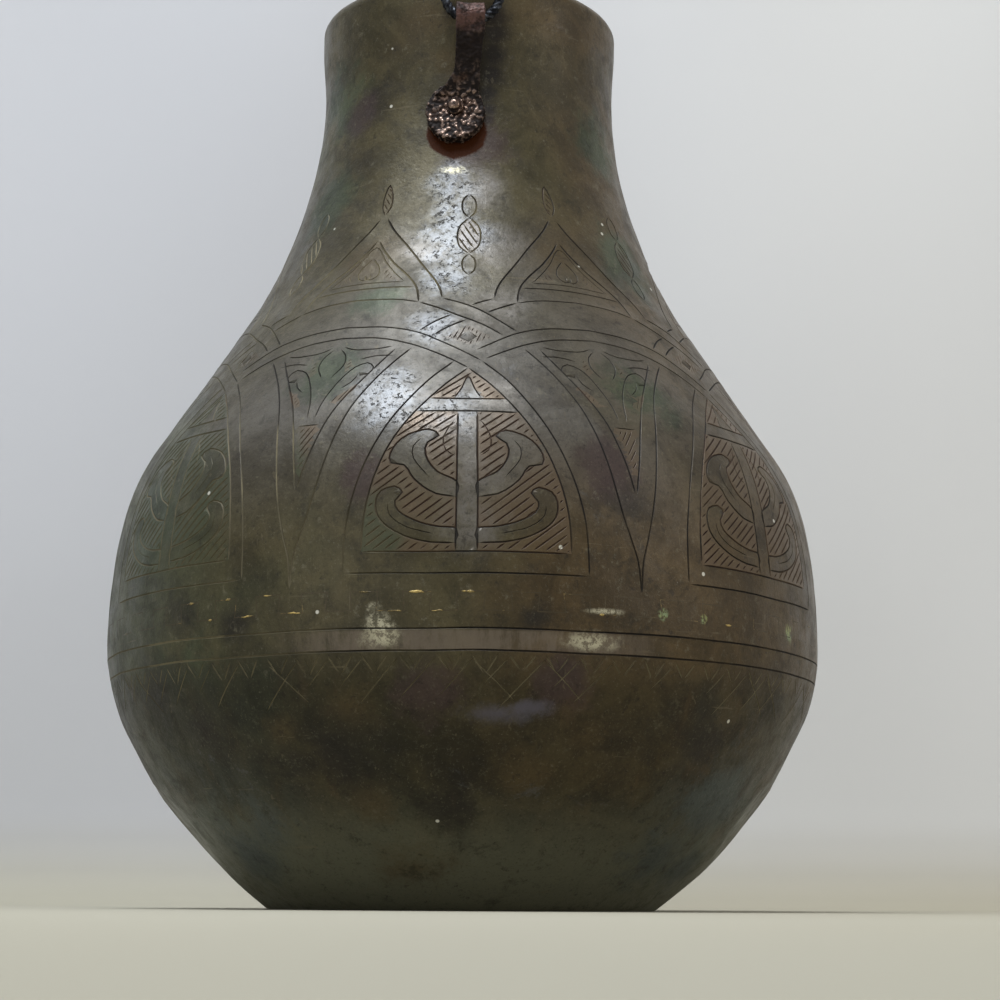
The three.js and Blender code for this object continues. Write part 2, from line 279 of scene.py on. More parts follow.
# %% Draw the ribbons of one arch
FRAME_INNER = [(0, 204.3), (4, 196.3), (7.5, 186.8), (10.2, 177.3), (12.2, 167.8), (13.7, 156.8),
               (14.6, 145.8), (14.9, 137), (14.9, 129.4)]
FRAME_OUTER = [(2.4, 207.8), (6.6, 199), (10, 188.6), (12.9, 176.8), (15.1, 164.3), (16.5, 152),
               (17.3, 140.5), (17.5, 129.9), (17.5, 121.4)]
SWAG_LOW = [(0, 204.3), (-3, 208.3), (-7, 212.6), (-12, 216.4), (-18.5, 219.5), (-25.72, 220.7)]
SWAG_HIGH = [(2.4, 207.8), (-1.5, 212.8), (-6, 217.8), (-10.3, 221.6), (-17.3, 224.7), (-25.72, 226)]
SWAG_RIGHT = [(3.1, 208.8), (7, 212.6), (12, 216.4), (18.5, 219.5), (25.72, 220.7)]
ARCH_INNER = [(10.6, 213.8), (13.2, 207.8), (16, 199.8), (18.5, 189.8), (20.2, 178.8), (21.5, 166.8),
              (22.6, 153.8), (23.5, 144.1), (24.4, 136.1), (25.3, 128), (25.7, 116)]
ARCH_OUTER = [(13.6, 213.8), (15.4, 208.8), (17.6, 202.3), (20.5, 192.8), (22.6, 182.8), (24, 171.8),
              (25, 161.8), (25.6, 154.3)]
FLARE_INNER = [(24.6, 279.8), (21.6, 273.4), (16.2, 264), (11.8, 255.2), (8.1, 247.4), (6.5, 242.3),
               (5.9, 238.2)]
FLARE_OUTER = [(25.5, 268.8), (23.3, 263.8), (19.3, 256.6), (15.3, 250.5), (12.4, 244.3), (11, 236.5)]
COLLAR_LOW = [(11, 236.5), (17, 238.4), (25.72, 239.4)]
COLLAR_HIGH = [(12.5, 244), (19.5, 244.7), (25.72, 244.9)]


def ribbons(panel):
    for mirror in (1, -1):
        for edge in (FRAME_INNER, FRAME_OUTER, ARCH_INNER, ARCH_OUTER):
            cut(drawn(place(edge, panel, mirror)), 0.85, 0.8, 1.5)
        for edge in (FLARE_INNER, FLARE_OUTER):
            cut(drawn(place(edge, panel, mirror)), 0.95, 3.0, 1.0)
        for edge in (COLLAR_LOW, COLLAR_HIGH):
            cut(drawn(place(edge, panel, mirror)), 0.7, 0.8, 0)
    for edge in (SWAG_LOW, SWAG_HIGH, SWAG_RIGHT):
        cut(drawn(place(edge, panel)), 0.8, 0.6, 0)
    cut(drawn(place(SWAG_HIGH[2:], panel, -1)), 0.8, 0.6, 0)
    cut(drawn(place([(1.6, 213), (3.8, 215.4), (6, 217.8)], panel)), 0.8, 0.6, 0)
    for height, half in ((129.4, 14.9), (121.4, 17.5)):
        cut(drawn(place([(-half, height), (0, height), (half, height)], panel), 4), 0.85, 1.0, 1.0)


def crossing(panel):
    """The outer ribbons cross over the arch's point, the falling one on top."""
    over = [[(-5.9, 238.2), (-2.5, 236.4), (1.1, 233.8), (4, 230.6), (6.6, 227), (9.8, 222.1)],
            [(-11, 236.5), (-6.5, 233.4), (-2.7, 230.1), (0.8, 227.2), (3.8, 224.2), (6.9, 220)]]
    under = [[(5.9, 238.2), (3, 236.6), (0.6, 234.7)],
             [(-3.2, 230.2), (-6.6, 227), (-9.8, 222.1)],
             [(11, 236.5), (7, 233.7), (4, 231.2)],
             [(-0.2, 227.6), (-3.8, 224.2), (-6.9, 220)]]
    for edge in over + under:
        cut(drawn(place(edge, panel)), 0.9, 0.7, 0.7)


# %% [markdown]
# ## Leaves, scrolls and beads
#
# Inside each arch stands a plain strapwork tree: a bar, a stem and two pairs of curling leaves, with
# the ground hatched behind them. Between the arches are scrolls, on the neck a chain of beads, and
# a small hatched leaf stands over each place where two outer ribbons meet.

# %% Draw the filling of one arch
ARCH_GROUND = [(-14.9, 129.4), (-14.6, 145.8), (-13.7, 156.8), (-12.2, 167.8), (-10.2, 177.3), (-7.5, 186.8),
               (-4, 196.3), (0, 204.3), (4, 196.3), (7.5, 186.8), (10.2, 177.3), (12.2, 167.8),
               (13.7, 156.8), (14.6, 145.8), (14.9, 129.4)]
LOWER_LEAF = [(1.5, 132.5), (5, 132.9), (9, 135.6), (12.2, 141), (13.1, 147.2), (12.3, 152.5),
              (10.4, 154), (9.2, 151.7), (10.2, 148.5), (9.7, 144.5), (7, 140.7), (4, 138.7), (1.5, 138.2)]
UPPER_LEAF = [(1.5, 149.8), (4.4, 151.1), (7.6, 156.8), (9.2, 162.3), (11.2, 163.3), (11, 169.3),
              (8.9, 174.6), (5.9, 176.8), (4.3, 174.2), (5.9, 171.4), (6.1, 166.3), (4.4, 159.8),
              (1.5, 155.8)]
LOWER_VEIN = [(4.5, 135.9), (8.5, 138.6), (11, 143.2), (11.3, 148)]
UPPER_VEIN = [(5.4, 157.3), (7.8, 164.8), (8, 169.8), (6.8, 173.3)]
BUD = [(1.8, 165.8), (3.2, 168.3), (3.6, 172.8), (2.6, 178.8), (1.8, 181.3)]
STEM = [(-1.5, 129.4), (-1.5, 184.6), (1.5, 184.6), (1.5, 129.4)]
BAR = [(-8.2, 184.6), (8.2, 184.6), (6.4, 190.4), (-6.4, 190.4)]
CROWN = [(-2.2, 190.4), (-1.1, 194.8), (0, 200.4), (1.1, 194.8), (2.2, 190.4)]


def outline(points, panel, mirror=1):
    return drawn(place(points + points[:1], panel, mirror))[:-1]


def straight(points, panel):
    return [Vector((math.radians(a), way_at(z))) for a, z in place(points, panel)]


def tree(panel, rng):
    leaves = [outline(leaf, panel, mirror) for leaf in (LOWER_LEAF, UPPER_LEAF) for mirror in (1, -1)]
    for leaf in leaves:
        cut(leaf + leaf[:1], 0.9, 0.8, 0.8)
    for side_x in (-1.5, 1.5):
        cut(drawn(place([(side_x, 129.4), (side_x, 184.2)], panel)), 0.9, 1.5, 1.0)
    cut(drawn(place([(-8, 184.6), (0, 184.8), (8, 184.6)], panel)), 0.9, 1.0, 1.0)
    cut(drawn(place([(-6.3, 190.4), (0, 190.2), (6.3, 190.4)], panel)), 0.9, 1.0, 1.0)
    cut(drawn(place(CROWN, panel)), 0.65, 0.8, 0.8)
    for mirror in (1, -1):
        for vein in (LOWER_VEIN, UPPER_VEIN):
            cut(drawn(place(vein, panel, mirror)), 0.5)
        cut(drawn(place(BUD, panel, mirror)), 0.6)
    blanks = leaves + [straight(STEM, panel), straight(BAR, panel), outline(CROWN, panel)]
    hatch(straight(ARCH_GROUND, panel), blanks, 42 + rng.uniform(-5, 5), 2.75, 0.88, rng)


# %% Draw what stands between two arches
def scrolls(panel, rng):
    """The spandrel, mirrored about the border between this arch and the next."""
    border = PITCH / 2
    for mirror in (1, -1):
        def here(points):
            return place([(border + mirror * angle, height) for angle, height in points], panel)
        curls = [
            [(0.7, 183.8), (1.3, 191.8), (2.9, 199.8), (5.1, 205.9), (7.3, 207.6), (8.7, 205.4),
             (8.1, 202.4), (6.6, 201.9), (6.2, 203.6)],
            [(1.2, 216.3), (4.4, 214.2), (8.2, 214), (11.4, 215)],
            [(0.9, 201.8), (2.6, 207.3), (2.2, 212.3), (0.6, 215.4)],
            [(3.6, 196), (5.4, 199), (6.2, 202.6)],
            [(12.3, 210.4), (9, 210.7), (5.4, 209.4)],
        ]
        for curl in curls:
            cut(drawn(here(curl)), 0.65, 1.6, 1.2)
        leaf = [(4.4, 190.3), (5.8, 193.8), (7.2, 198.3), (5.2, 196.4), (3.6, 193.2), (2.6, 188.3)]
        hatch(drawn(here(leaf + leaf[:1]))[:-1], (), 62, 1.9, 0.5, rng)
        tip = [(3.2, 202.8), (4.6, 207), (3.4, 211.4), (2.9, 207.2)]
        hatch(drawn(here(tip + tip[:1]))[:-1], (), 40, 1.8, 0.5, rng)
    wedge = [(border - 1.9, 180.8), (border + 1.9, 180.8), (border + 0.9, 167.8), (border, 159.8)]
    cut(drawn(place(wedge[:2], panel)), 0.6, 0.8, 0.8)
    hatch(straight(wedge, panel), (), 58, 2.1, 0.65, rng)


def neck_ornament(panel, rng):
    border = PITCH / 2
    for low, high, half in ((249.8, 260.2, 1.7), (260.2, 278, 3.2), (278, 289.5, 2.1)):
        middle = (low + high) / 2
        bead = [(0, low), (0.8 * half, low + (high - low) * 0.22), (half, middle),
                (0.8 * half, high - (high - low) * 0.22), (0, high)]
        for mirror in (1, -1):
            cut(drawn(place(bead, panel, mirror), 1.8), 0.8, 0.9, 0.9)
        if half > 3:
            hatch(straight(bead + [(-a, z) for a, z in bead[3:0:-1]], panel), (), 118, 2.6, 0.8, rng)
    leaf = [(border, 281.3), (border + 1.5, 285.3), (border + 1.2, 290.8), (border - 0.5, 295.8),
            (border - 1.6, 289.8), (border - 1.4, 284.8)]
    cut(outline(leaf, panel) + outline(leaf, panel)[:1], 0.8, 0.8, 0.8)
    hatch(outline(leaf, panel), (), 125, 1.7, 0.6, rng)
    pendant = [(border - 10.2, 247), (border - 8, 250.4), (border - 4.4, 256.8), (border, 265.4),
               (border + 4.4, 256.8), (border + 8, 250.4), (border + 10.2, 247)]
    cut(drawn(place(pendant, panel)), 0.5, 1.0, 1.0)
    cut(drawn(place([pendant[0], (border, 247.7), pendant[-1]], panel)), 0.5, 1.0, 1.0)
    for mirror in (1, -1):
        ring = [(border + mirror * a, z) for a, z in
                ((0.2, 259.8), (2.4, 255.4), (2.8, 251.6), (1.2, 249.4), (-0.6, 250.2), (-0.4, 252.4))]
        cut(drawn(place(ring, panel), 1.6), 0.6, 1.4, 1.0)
        corner = [(border + mirror * a, z) for a, z in ((9, 247.8), (7.4, 250.4), (4.4, 255.8), (4, 248.8))]
        hatch(straight(corner, panel), (), 62 if mirror > 0 else 118, 1.8, 0.5, rng)


def knot(panel, rng):
    """The small lozenge between the crossing ribbons, hatched round a plain diamond."""
    ground = [(0, 225.4), (-5.2, 218.8), (0, 214.6), (5.2, 218.8)]
    gem = [(0, 222.0), (-1.6, 219.2), (0, 216.9), (1.6, 219.2)]
    cut(straight(gem + gem[:1], panel), 0.6, 0.6, 0.6)
    hatch(straight(ground, panel), [straight(gem, panel)], 68, 1.75, 0.6, rng, 1.7)


# %% [markdown]
# ## The bands round the belly
#
# Below the tabs two lines run right round the pot, and a row of small hatched triangles hangs from
# the lower one. From many of the triangles a long thin cut slants down and to the left, and a few
# slant the other way: the same quick stroke of the hand, never twice the same length.

# %% Draw the belly bands
BAND_HIGH = 101
BAND_LOW = 93
TEETH = 10 * PANELS


def belly_bands(rng):
    for height in (BAND_HIGH, BAND_LOW):
        ring = [Vector((math.radians(a), way_at(height))) for a in range(-181, 182)]
        cut(ring, 0.85, 0, 0)
    for i in range(TEETH):
        middle = -178 + i * 360 / TEETH + rng.uniform(-0.25, 0.25)
        tip = rng.uniform(84.2, 85.8)
        half = rng.uniform(1.8, 2.1)
        left = [(middle - half, BAND_LOW - 0.9), (middle - 0.1, tip)]
        right = [(middle + half, BAND_LOW - 0.9), (middle + 0.1, tip)]
        for edge in (left, right):
            cut(drawn(edge), 0.7, 1.0, 1.4)
        for share in (0.36, 0.68):
            top = middle - half + 2 * half * share
            foot = tip + (BAND_LOW - tip) * (0.12 + 0.5 * share)
            cut(drawn([(top, BAND_LOW - 1.2), (middle + half * share * 0.55, foot)]), 0.5, 1.0, 1.2)
        at_rear = abs(middle) > 171
        if rng.random() < 0.78 and not at_rear:
            fall = rng.uniform(10, 19)
            slant = [(middle + 3.4, 90.5), (middle + 3.4 - fall * 0.18, 90.5 - fall * 0.5),
                     (middle + 3.4 - fall * 0.37, 90.5 - fall)]
            cut(drawn(slant), 0.6, 3.0, 5.0)
        if rng.random() < 0.13 and not at_rear:
            slant = [(middle - 2, 90), (middle + 1.6, 82), (middle + 4.8, 74.5)]
            cut(drawn(slant), 0.55, 3.0, 4.0)


# %% Let the engraver work round the pot
hand = random.Random(11)
for panel in range(-3, 4):
    ribbons(panel)
    crossing(panel)
    tree(panel, hand)
    scrolls(panel, hand)
    neck_ornament(panel, hand)
    knot(panel, hand)
belly_bands(hand)
print(len(furrows), "furrows,", sum(len(line) for line, _ in furrows), "points")

# %% [markdown]
# ## From a flat drawing to cut copper
#
# Displacing an even grid would need millions of faces to keep a line 0.8 mm wide sharp. A bmesh
# operator can't run faces along hundreds of crossing lines either, so the wall between base and
# lip is laid out flat, each furrow's middle and both its edges become fixed edges of a Delaunay
# triangulation, and the sheet is wrapped back round the pot. Each furrow is then as crisp as the
# real one, at a few thousand faces for each arch.

# %% Measure how deep the graver went at a point
FURROW_SLOPE = 0.72
FURROW_REACH = 1.7
GROUND_REACH = 2.6
spots = [(line, halves, i) for line, halves in furrows for i in range(len(line))]
furrow_tree = kdtree.KDTree(len(spots))
for index, (line, halves, i) in enumerate(spots):
    furrow_tree.insert(on_wall(line[i].x, line[i].y), index)
furrow_tree.balance()

ground_spots = [(spot, area) for area in grounds for i in area[2] for spot in furrows[i][0]]
ground_tree = kdtree.KDTree(len(ground_spots))
for index, (spot, _) in enumerate(ground_spots):
    ground_tree.insert(on_wall(*spot), index)
ground_tree.balance()


def on_ground(angle, way):
    """1.0 in a hatched ground between the leaves, else 0.0."""
    _, index, gap = ground_tree.find(on_wall(angle, way))
    if gap > GROUND_REACH:
        return 0.0
    ground, leaves, _ = ground_spots[index][1]
    turn = FULL_TURN * round((ground[0].x - angle) / FULL_TURN)
    spot = Vector((angle + turn, way))
    return float(inside(spot, ground) and not any(inside(spot, leaf) for leaf in leaves))


print(len(spots), "furrow points,", len(ground_spots), "of them on hatched grounds")


def cut_depth(angle, way):
    """The depth there in millimetres, and whether the place is in a furrow or on its edge."""
    radius = section_at(way)[0].x
    spot = Vector((angle * radius, way))
    deepest = -1.0
    for _, index, _ in furrow_tree.find_range(on_wall(angle, way), FURROW_REACH):
        line, halves, i = spots[index]
        for j in (i - 1, i):
            if not 0 <= j < len(line) - 1:
                continue
            turn = FULL_TURN * round((angle - line[j].x) / FULL_TURN)
            low = Vector(((line[j].x + turn) * radius, line[j].y))
            run = Vector(((line[j + 1].x + turn) * radius, line[j + 1].y)) - low
            share = min(max((spot - low).dot(run) / max(run.length_squared, 1e-9), 0), 1)
            half = halves[j] + share * (halves[j + 1] - halves[j])
            deepest = max(deepest, FURROW_SLOPE * (half - (spot - low - share * run).length))
    return (deepest if deepest > 0.03 else 0.0), deepest > -0.1


# %% [markdown]
# ## The dovetail tabs
#
# The two shells are joined by the oldest strong seam in copper work: the edge of each is cut into
# tabs, the tabs are slipped between each other, hammered flat and filled with brass. The tabs are
# the measured model's own, 48 round the belly and a little wider at their tips.

# %% Draw the line where the shells meet
SEAM_HEIGHT = 111
TAB_HEIGHT = 7
TABS = 48
JOIN_GAP = 0.15
SEAM_STEP = 2.6


def seam_line(gap):
    """The zigzag between the shells, half a gap up (plus) or down (minus), as (radian, way)."""
    root = math.pi / TABS / 2 - 0.4 / BELLY_RADIUS + gap / BELLY_RADIUS
    tip = root + 0.8 / BELLY_RADIUS
    low, high = SEAM_HEIGHT - TAB_HEIGHT / 2 + gap, SEAM_HEIGHT + TAB_HEIGHT / 2 + gap
    corners = []
    for i in range(-TABS // 2, TABS // 2 + 1):
        middle = FULL_TURN * i / TABS
        corners += [(middle - root, low), (middle - tip, high), (middle + tip, high), (middle + root, low)]
    corners = [(a, z) for a, z in corners if -math.pi < a < math.pi]
    corners = [(-math.pi, high)] + corners + [(math.pi, high)]
    line = []
    for (a, z), (b, y) in zip(corners, corners[1:]):
        start, end = Vector((a, way_at(z))), Vector((b, way_at(y)))
        count = max(1, round(math.hypot((b - a) * BELLY_RADIUS, y - z) / SEAM_STEP))
        line += [start.lerp(end, i / count) for i in range(count)]
    return line + [Vector((math.pi, way_at(high)))]


print("seam points", len(seam_line(JOIN_GAP)))

# %% Triangulate a sheet of wall between two lines
AROUND = 252
GRID = 3.7
OFF_BORDER = 1.7
OFF_FURROW = 1.35


def level_line(height):
    return [Vector((-math.pi + FULL_TURN * i / AROUND, way_at(height))) for i in range(AROUND + 1)]


def sheet(low, high, engraved=True, rng=random.Random(5)):
    """Triangles between two lines round the pot. Returns (radian, way) corners and triples."""
    flat = 100.0
    points, edges = [], []

    def chain(line, joined=True):
        first = len(points)
        points.extend(Vector((p.x * flat, p.y)) for p in line)
        if joined:
            edges.extend((i, i + 1) for i in range(first, len(points) - 1))
        return list(range(first, len(points)))

    def rise(end):
        count = max(2, round((high[end].y - low[end].y) / GRID))
        return [low[end].lerp(high[end], i / count) for i in range(1, count)]

    frame_line = low + rise(-1) + high[::-1] + rise(0)[::-1]
    border = chain(frame_line, joined=False)
    near_border = kdtree.KDTree(len(frame_line))
    for i, spot in enumerate(frame_line):
        near_border.insert(on_wall(*spot), i)
    near_border.balance()
    top, bottom = max(p.y for p in high), min(p.y for p in low)
    if engraved:
        for line, halves in furrows:
            if max(p.y for p in line) < bottom or min(p.y for p in line) > top:
                continue
            for turn in (-FULL_TURN, 0, FULL_TURN):
                if any(abs(p.x + turn) < math.pi + 0.03 for p in line):
                    lay_furrow(line, halves, turn, chain)
    rows = int((top - bottom) / GRID)
    for row in range(1, rows):
        way = bottom + (top - bottom) * row / rows
        count = int(FULL_TURN * section_at(way)[0].x / GRID)
        for i in range(count):
            angle = -math.pi + FULL_TURN * (i + 0.5 * (row % 2) + rng.uniform(-0.1, 0.1)) / count
            spot = on_wall(angle, way)
            at_furrow = engraved and furrow_tree.find(spot)[2] < OFF_FURROW
            if near_border.find(spot)[2] > OFF_BORDER and not at_furrow:
                points.append(Vector((angle * flat, way)))
    corners, _, faces, _, _, _ = geometry.delaunay_2d_cdt(points, edges, [border], 1, 1e-4)
    corners = [Vector((p.x / flat, p.y)) for p in corners]
    return corners, [f for f in faces if abs(sum(corners[i].x for i in f)) < len(f) * math.pi]


def lay_furrow(line, halves, turn, chain):
    """The furrow's middle and its two edges, as fixed lines of the flat sheet."""
    edges = ([], [])
    for i, (spot, half) in enumerate(zip(line, halves)):
        ahead, behind = line[min(i + 1, len(line) - 1)], line[max(i - 1, 0)]
        radius = section_at(spot.y)[0].x
        run = Vector(((ahead.x - behind.x) * radius, ahead.y - behind.y)).normalized()
        for edge, hand_side in zip(edges, (-1, 1)):
            step = Vector((-run.y / radius, run.x)) * half * hand_side
            edge.append(spot + step + Vector((turn, 0)))
    chain([p + Vector((turn, 0)) for p in line])
    for edge in edges:
        chain(edge)


# %% [markdown]
# ## Beaten, not turned
#
# Nothing raised by hammer is quite round. Every point of the copper is moved a little by the same
# smooth unevenness: slow waves of half a millimetre, the shallow facets that the planishing hammer
# leaves, and a few flats where the wall was struck or knocked, most of them low on the sides. A
# displacement modifier could do it, but moving the points here moves the engraving, the seam and
# the lip together, and keeps the base flat on the table.

# %% Beat the copper
# Each flat is (degrees from the front, height and depth in millimetres).
WAVE = 52.0
FINE_WAVE = 19
FACET = 17.0
FINE_FACET = 8
HELD_HEIGHT = 16
FLAT_REACH = 40.0
FLATS = [(-86, 62, 1.5), (-80, 34, 1.6), (84, 66, 1.5), (78, 38, 1.8), (92, 96, 0.8), (-94, 92, 0.7),
         (-88, 150, 0.7), (90, 168, 0.9), (-90, 224, 0.8), (86, 244, 0.8), (-32, 46, 1.0), (28, 58, 1.1)]
dings = random.Random(8)
for _ in range(14):
    FLATS.append((dings.uniform(104, 256), dings.uniform(30, 230), dings.uniform(0.7, 1.6)))


def flat_plane(degrees, height, deep):
    angle, way = math.radians(degrees), way_at(height)
    out = section_at(way)[1]
    return on_wall(angle, way), Vector((out.x * math.sin(angle), -out.x * math.cos(angle), out.y)), deep


flat_planes = [flat_plane(*spot) for spot in FLATS]

# Left alone, the clock would choose where the vector noise starts, and each run would differ.
noise.seed_set(7)


def beaten(spot):
    """Where a point of the perfect shape really lies, in millimetres."""
    out = Vector((spot.x, spot.y, 0)).normalized()
    hold = min(1.0, max(spot.z, 0) / HELD_HEIGHT) ** 2
    fine = noise.noise_vector(spot / FINE_WAVE + Vector((7, 3, 1)))
    wave = 0.62 * noise.noise_vector(spot / WAVE) + 0.16 * fine
    near = noise.voronoi(spot / FACET)[0]
    facet = 0.16 * (near[0] - 0.45) + 0.1 * noise.noise(spot / FINE_FACET + Vector((2, 9, 4)))
    moved = wave + out * facet
    for middle, facing, deep in flat_planes:
        gap = spot - middle
        share = gap.length_squared / FLAT_REACH ** 2
        if share < 1:
            moved -= facing * max(0.0, gap.dot(facing) + deep * (1 - share)) * 0.85
    return spot + moved * hold


sample = [(beaten(on_wall(a / 10, 120)) - on_wall(a / 10, 120)).length for a in range(60)]
print("copper moves by up to", round(max(sample), 2), "mm")


# %% Build one shell of the pot
BURR = 0.09


def wrap(shell, groove, corners, faces, deep=0.0, flip=False):
    """Adds a flat sheet to a bmesh, wrapped round the pot and cut to the furrows' depth."""
    hatched = shell.faces.layers.float["hatched"]
    made = {}
    for face in faces:
        ring = []
        for i in face:
            if i not in made:
                depth, at_furrow = (0.0, False) if deep else cut_depth(*corners[i])
                burr = BURR if at_furrow and not depth else 0.0
                made[i] = shell.verts.new(on_wall(*corners[i], deep + depth - burr) * MM)
                made[i][groove] = depth
            ring.append(made[i])
        piece = shell.faces.new(reversed(ring) if flip else ring)
        if not deep:
            piece[hatched] = on_ground(*(sum((corners[i] for i in face), Vector((0, 0))) / len(face)))


def turned(shell, line, flip=False):
    """Spins a (radius, height) line round the pot, from the rear seam of the flat sheet."""
    verts = [shell.verts.new(Vector((0, r, z)) * MM) for r, z in line]
    edges = [shell.edges.new(pair) for pair in zip(verts, verts[1:])]
    before = set(shell.faces)
    bmesh.ops.spin(shell, geom=verts + edges, cent=(0, 0, 0), axis=(0, 0, 1), dvec=(0, 0, 0),
                   angle=FULL_TURN, steps=AROUND, use_merge=True, use_normal_flip=flip,
                   use_duplicate=False)
    return [face for face in shell.faces if face not in before]


def as_object(name, shape):
    mesh = bpy.data.meshes.new(name)
    shape.to_mesh(mesh)
    shape.free()
    piece = bpy.data.objects.new(name, mesh)
    bpy.context.collection.objects.link(piece)
    print(name, len(mesh.vertices), "points,", sum(len(f.vertices) - 2 for f in mesh.polygons), "triangles")
    return piece


def start_shell(outside, inside_wall, edge_line, below):
    """The engraved outside and the plain inside of a shell, joined along the tabs' edge."""
    shell = bmesh.new()
    shell.faces.layers.float.new("hatched")
    groove = shell.verts.layers.float.new("groove")
    wrap(shell, groove, *sheet(*outside))
    wrap(shell, groove, *sheet(*inside_wall, engraved=False), deep=WALL, flip=True)
    outer_edge = [shell.verts.new(on_wall(*p) * MM) for p in edge_line]
    inner_edge = [shell.verts.new(on_wall(*p, WALL) * MM) for p in edge_line]
    for i in range(len(edge_line) - 1):
        a, b = (i, i + 1) if below else (i + 1, i)
        shell.faces.new((outer_edge[a], outer_edge[b], inner_edge[b], inner_edge[a]))
    return shell, groove


def finish_shell(name, shell, groove):
    """Welds the sheets, beats the copper, and marks the furrows' edges as sharp."""
    bmesh.ops.remove_doubles(shell, verts=shell.verts[:], dist=0.02 * MM)
    for vert in shell.verts:
        vert.co = beaten(vert.co / MM) * MM
    for face in shell.faces:
        face.smooth = True
    for edge in shell.edges:
        if len(edge.link_faces) == 2:
            cuts = [any(v[groove] > 0 for v in face.verts) for face in edge.link_faces]
            bend = edge.calc_face_angle(0.0)
            edge.smooth = cuts[0] == cuts[1] and bend < 1.0
    loose = [edge for edge in shell.edges if len(edge.link_faces) != 2]
    print(name, "open or doubled edges:", len(loose))
    return as_object(name, shell)


# %% [markdown]
# ## The lower shell
#
# A bowl raised from one disc of copper: flat base with a crisp corner, round belly, tabs along its
# edge. The plain parts are spun from a line, and only the engraved band is a laid-out sheet. Inside
# it has its own wall, 1.4 mm further in, so that the pot is a real vessel when seen from above.

# %% Make the lower shell
BOWL_BAND = 71.0
INNER_BAND = 98.0


def stepped(low, high, step, deep=0.0):
    """(radius, height) points up the wall from one height to another."""
    start, end = way_at(low), way_at(high)
    count = max(1, round(abs(end - start) / step))
    line = [on_wall(math.pi, start + (end - start) * i / count, deep) for i in range(count + 1)]
    return [(p.y, p.z) for p in line]


tabs = seam_line(-JOIN_GAP)
bowl, bowl_groove = start_shell((level_line(BOWL_BAND), tabs), (level_line(INNER_BAND), tabs), tabs,
                                below=True)
base = [(0, 0), (14, 0), (30, 0), (48, 0), (66, 0), (78, 0), (80.6, 0.05)]
turned(bowl, base + stepped(0.4, BOWL_BAND, 3.9))
floor_inside = [(0, WALL), (20, WALL), (45, WALL), (68, WALL), (78.5, 1.6)]
turned(bowl, floor_inside + stepped(2.4, INNER_BAND, 5, WALL), flip=True)
bowl_skin = finish_shell("belly_bowl", bowl, bowl_groove)

# %% [markdown]
# ## The upper shell
#
# The second shell carries the engraving up the flank to the neck, and its lip is rolled inwards
# round an iron wire. The roll and the whole inner wall are one line spun round the pot: over the
# top, round the wire, back along the inside of the sheet and down to the tabs.

# %% Make the upper shell
LIP_HEIGHT = 384.0
WIRE_RADIUS = 60
ROLL_RADIUS = 5.5
ROLL_TURN = 290
INNER_TABS = 124.0


def roll_arc(radius, start, end, count):
    turns = [math.radians(start + (end - start) * i / count) for i in range(count + 1)]
    return [(WIRE_RADIUS + radius * math.cos(t), LIP_HEIGHT + radius * math.sin(t)) for t in turns]


tabs = seam_line(JOIN_GAP)
upper, upper_groove = start_shell((tabs, level_line(LIP_HEIGHT)), (tabs, level_line(INNER_TABS)), tabs,
                                  below=False)
roll = roll_arc(ROLL_RADIUS, 0, ROLL_TURN, 26) + roll_arc(ROLL_RADIUS - WALL, ROLL_TURN, 0, 20)
turned(upper, roll + stepped(LIP_HEIGHT, INNER_TABS, 5.5, WALL)[1:])
neck_skin = finish_shell("flank_and_neck", upper, upper_groove)

# %% [markdown]
# ## Brass in the seam
#
# The tabs were brazed with brass, and centuries of polishing and patina leave it showing only as
# short yellow dashes along the tabs' ends. A thin strip fills the joint all round, as dark as the
# copper beside it, and small flat beads stand on it where the brass ran out.

# %% Fill the joint and leave a few beads of brass
def seam_loop(shape, gap, deep):
    line = seam_line(gap)[:-1]
    verts = [shape.verts.new(beaten(on_wall(*p, deep)) * MM) for p in line]
    return [shape.edges.new((verts[i - 1], verts[i])) for i in range(len(verts))]


solder = bmesh.new()
loops = [seam_loop(solder, gap, deep) for gap, deep in
         ((0.17, -0.01), (-0.17, -0.01), (-0.13, 1.34), (0.13, 1.34))]
for i in range(4):
    bmesh.ops.bridge_loops(solder, edges=loops[i] + loops[(i + 1) % 4])
bmesh.ops.recalc_face_normals(solder, faces=solder.faces)
solder_strip = as_object("seam_brass", solder)

beads = bmesh.new()
brazing = random.Random(100)
for i in range(TABS):
    for turn, height in ((0, SEAM_HEIGHT + TAB_HEIGHT / 2), (0.5, SEAM_HEIGHT - TAB_HEIGHT / 2)):
        angle = FULL_TURN * (i + turn) / TABS
        if brazing.random() > (0.5 if math.sin(angle) < 0.1 else 0.2):
            continue
        angle += brazing.uniform(-0.014, 0.014)
        half = brazing.uniform(0.7, 3.6) / BELLY_RADIUS
        thick = brazing.uniform(0.22, 0.5)
        blob = bmesh.ops.create_icosphere(beads, subdivisions=2, radius=1.0)["verts"]
        for vert in blob:
            uneven = 1 + 0.7 * noise.noise(vert.co * 1.6 + Vector((i, turn, 0)))
            wander = 0.25 * noise.noise(Vector((vert.co.x * 2, i, turn)))
            way = way_at(height) + vert.co.z * thick * uneven + wander
            spot = on_wall(angle + vert.co.x * half * uneven, way, -0.12 * vert.co.y - 0.01)
            vert.co = beaten(spot) * MM
bmesh.ops.recalc_face_normals(beads, faces=beads.faces)
for face in beads.faces:
    face.smooth = True
brass_beads = as_object("seam_beads", beads)

# %% [markdown]
# ## Scaly forged iron
#
# The lugs were forged, punched and left black, and rust has turned their surface into scale. Their
# measured solids already have the right form, so each is copied and remeshed evenly. The round head
# is drawn out a little down the wall, and then each point is roughened: broad hammer marks first,
# then lumps, grains and pits. Sculpting by hand would look alike, but this way both lugs can be made
# again and are never the same.


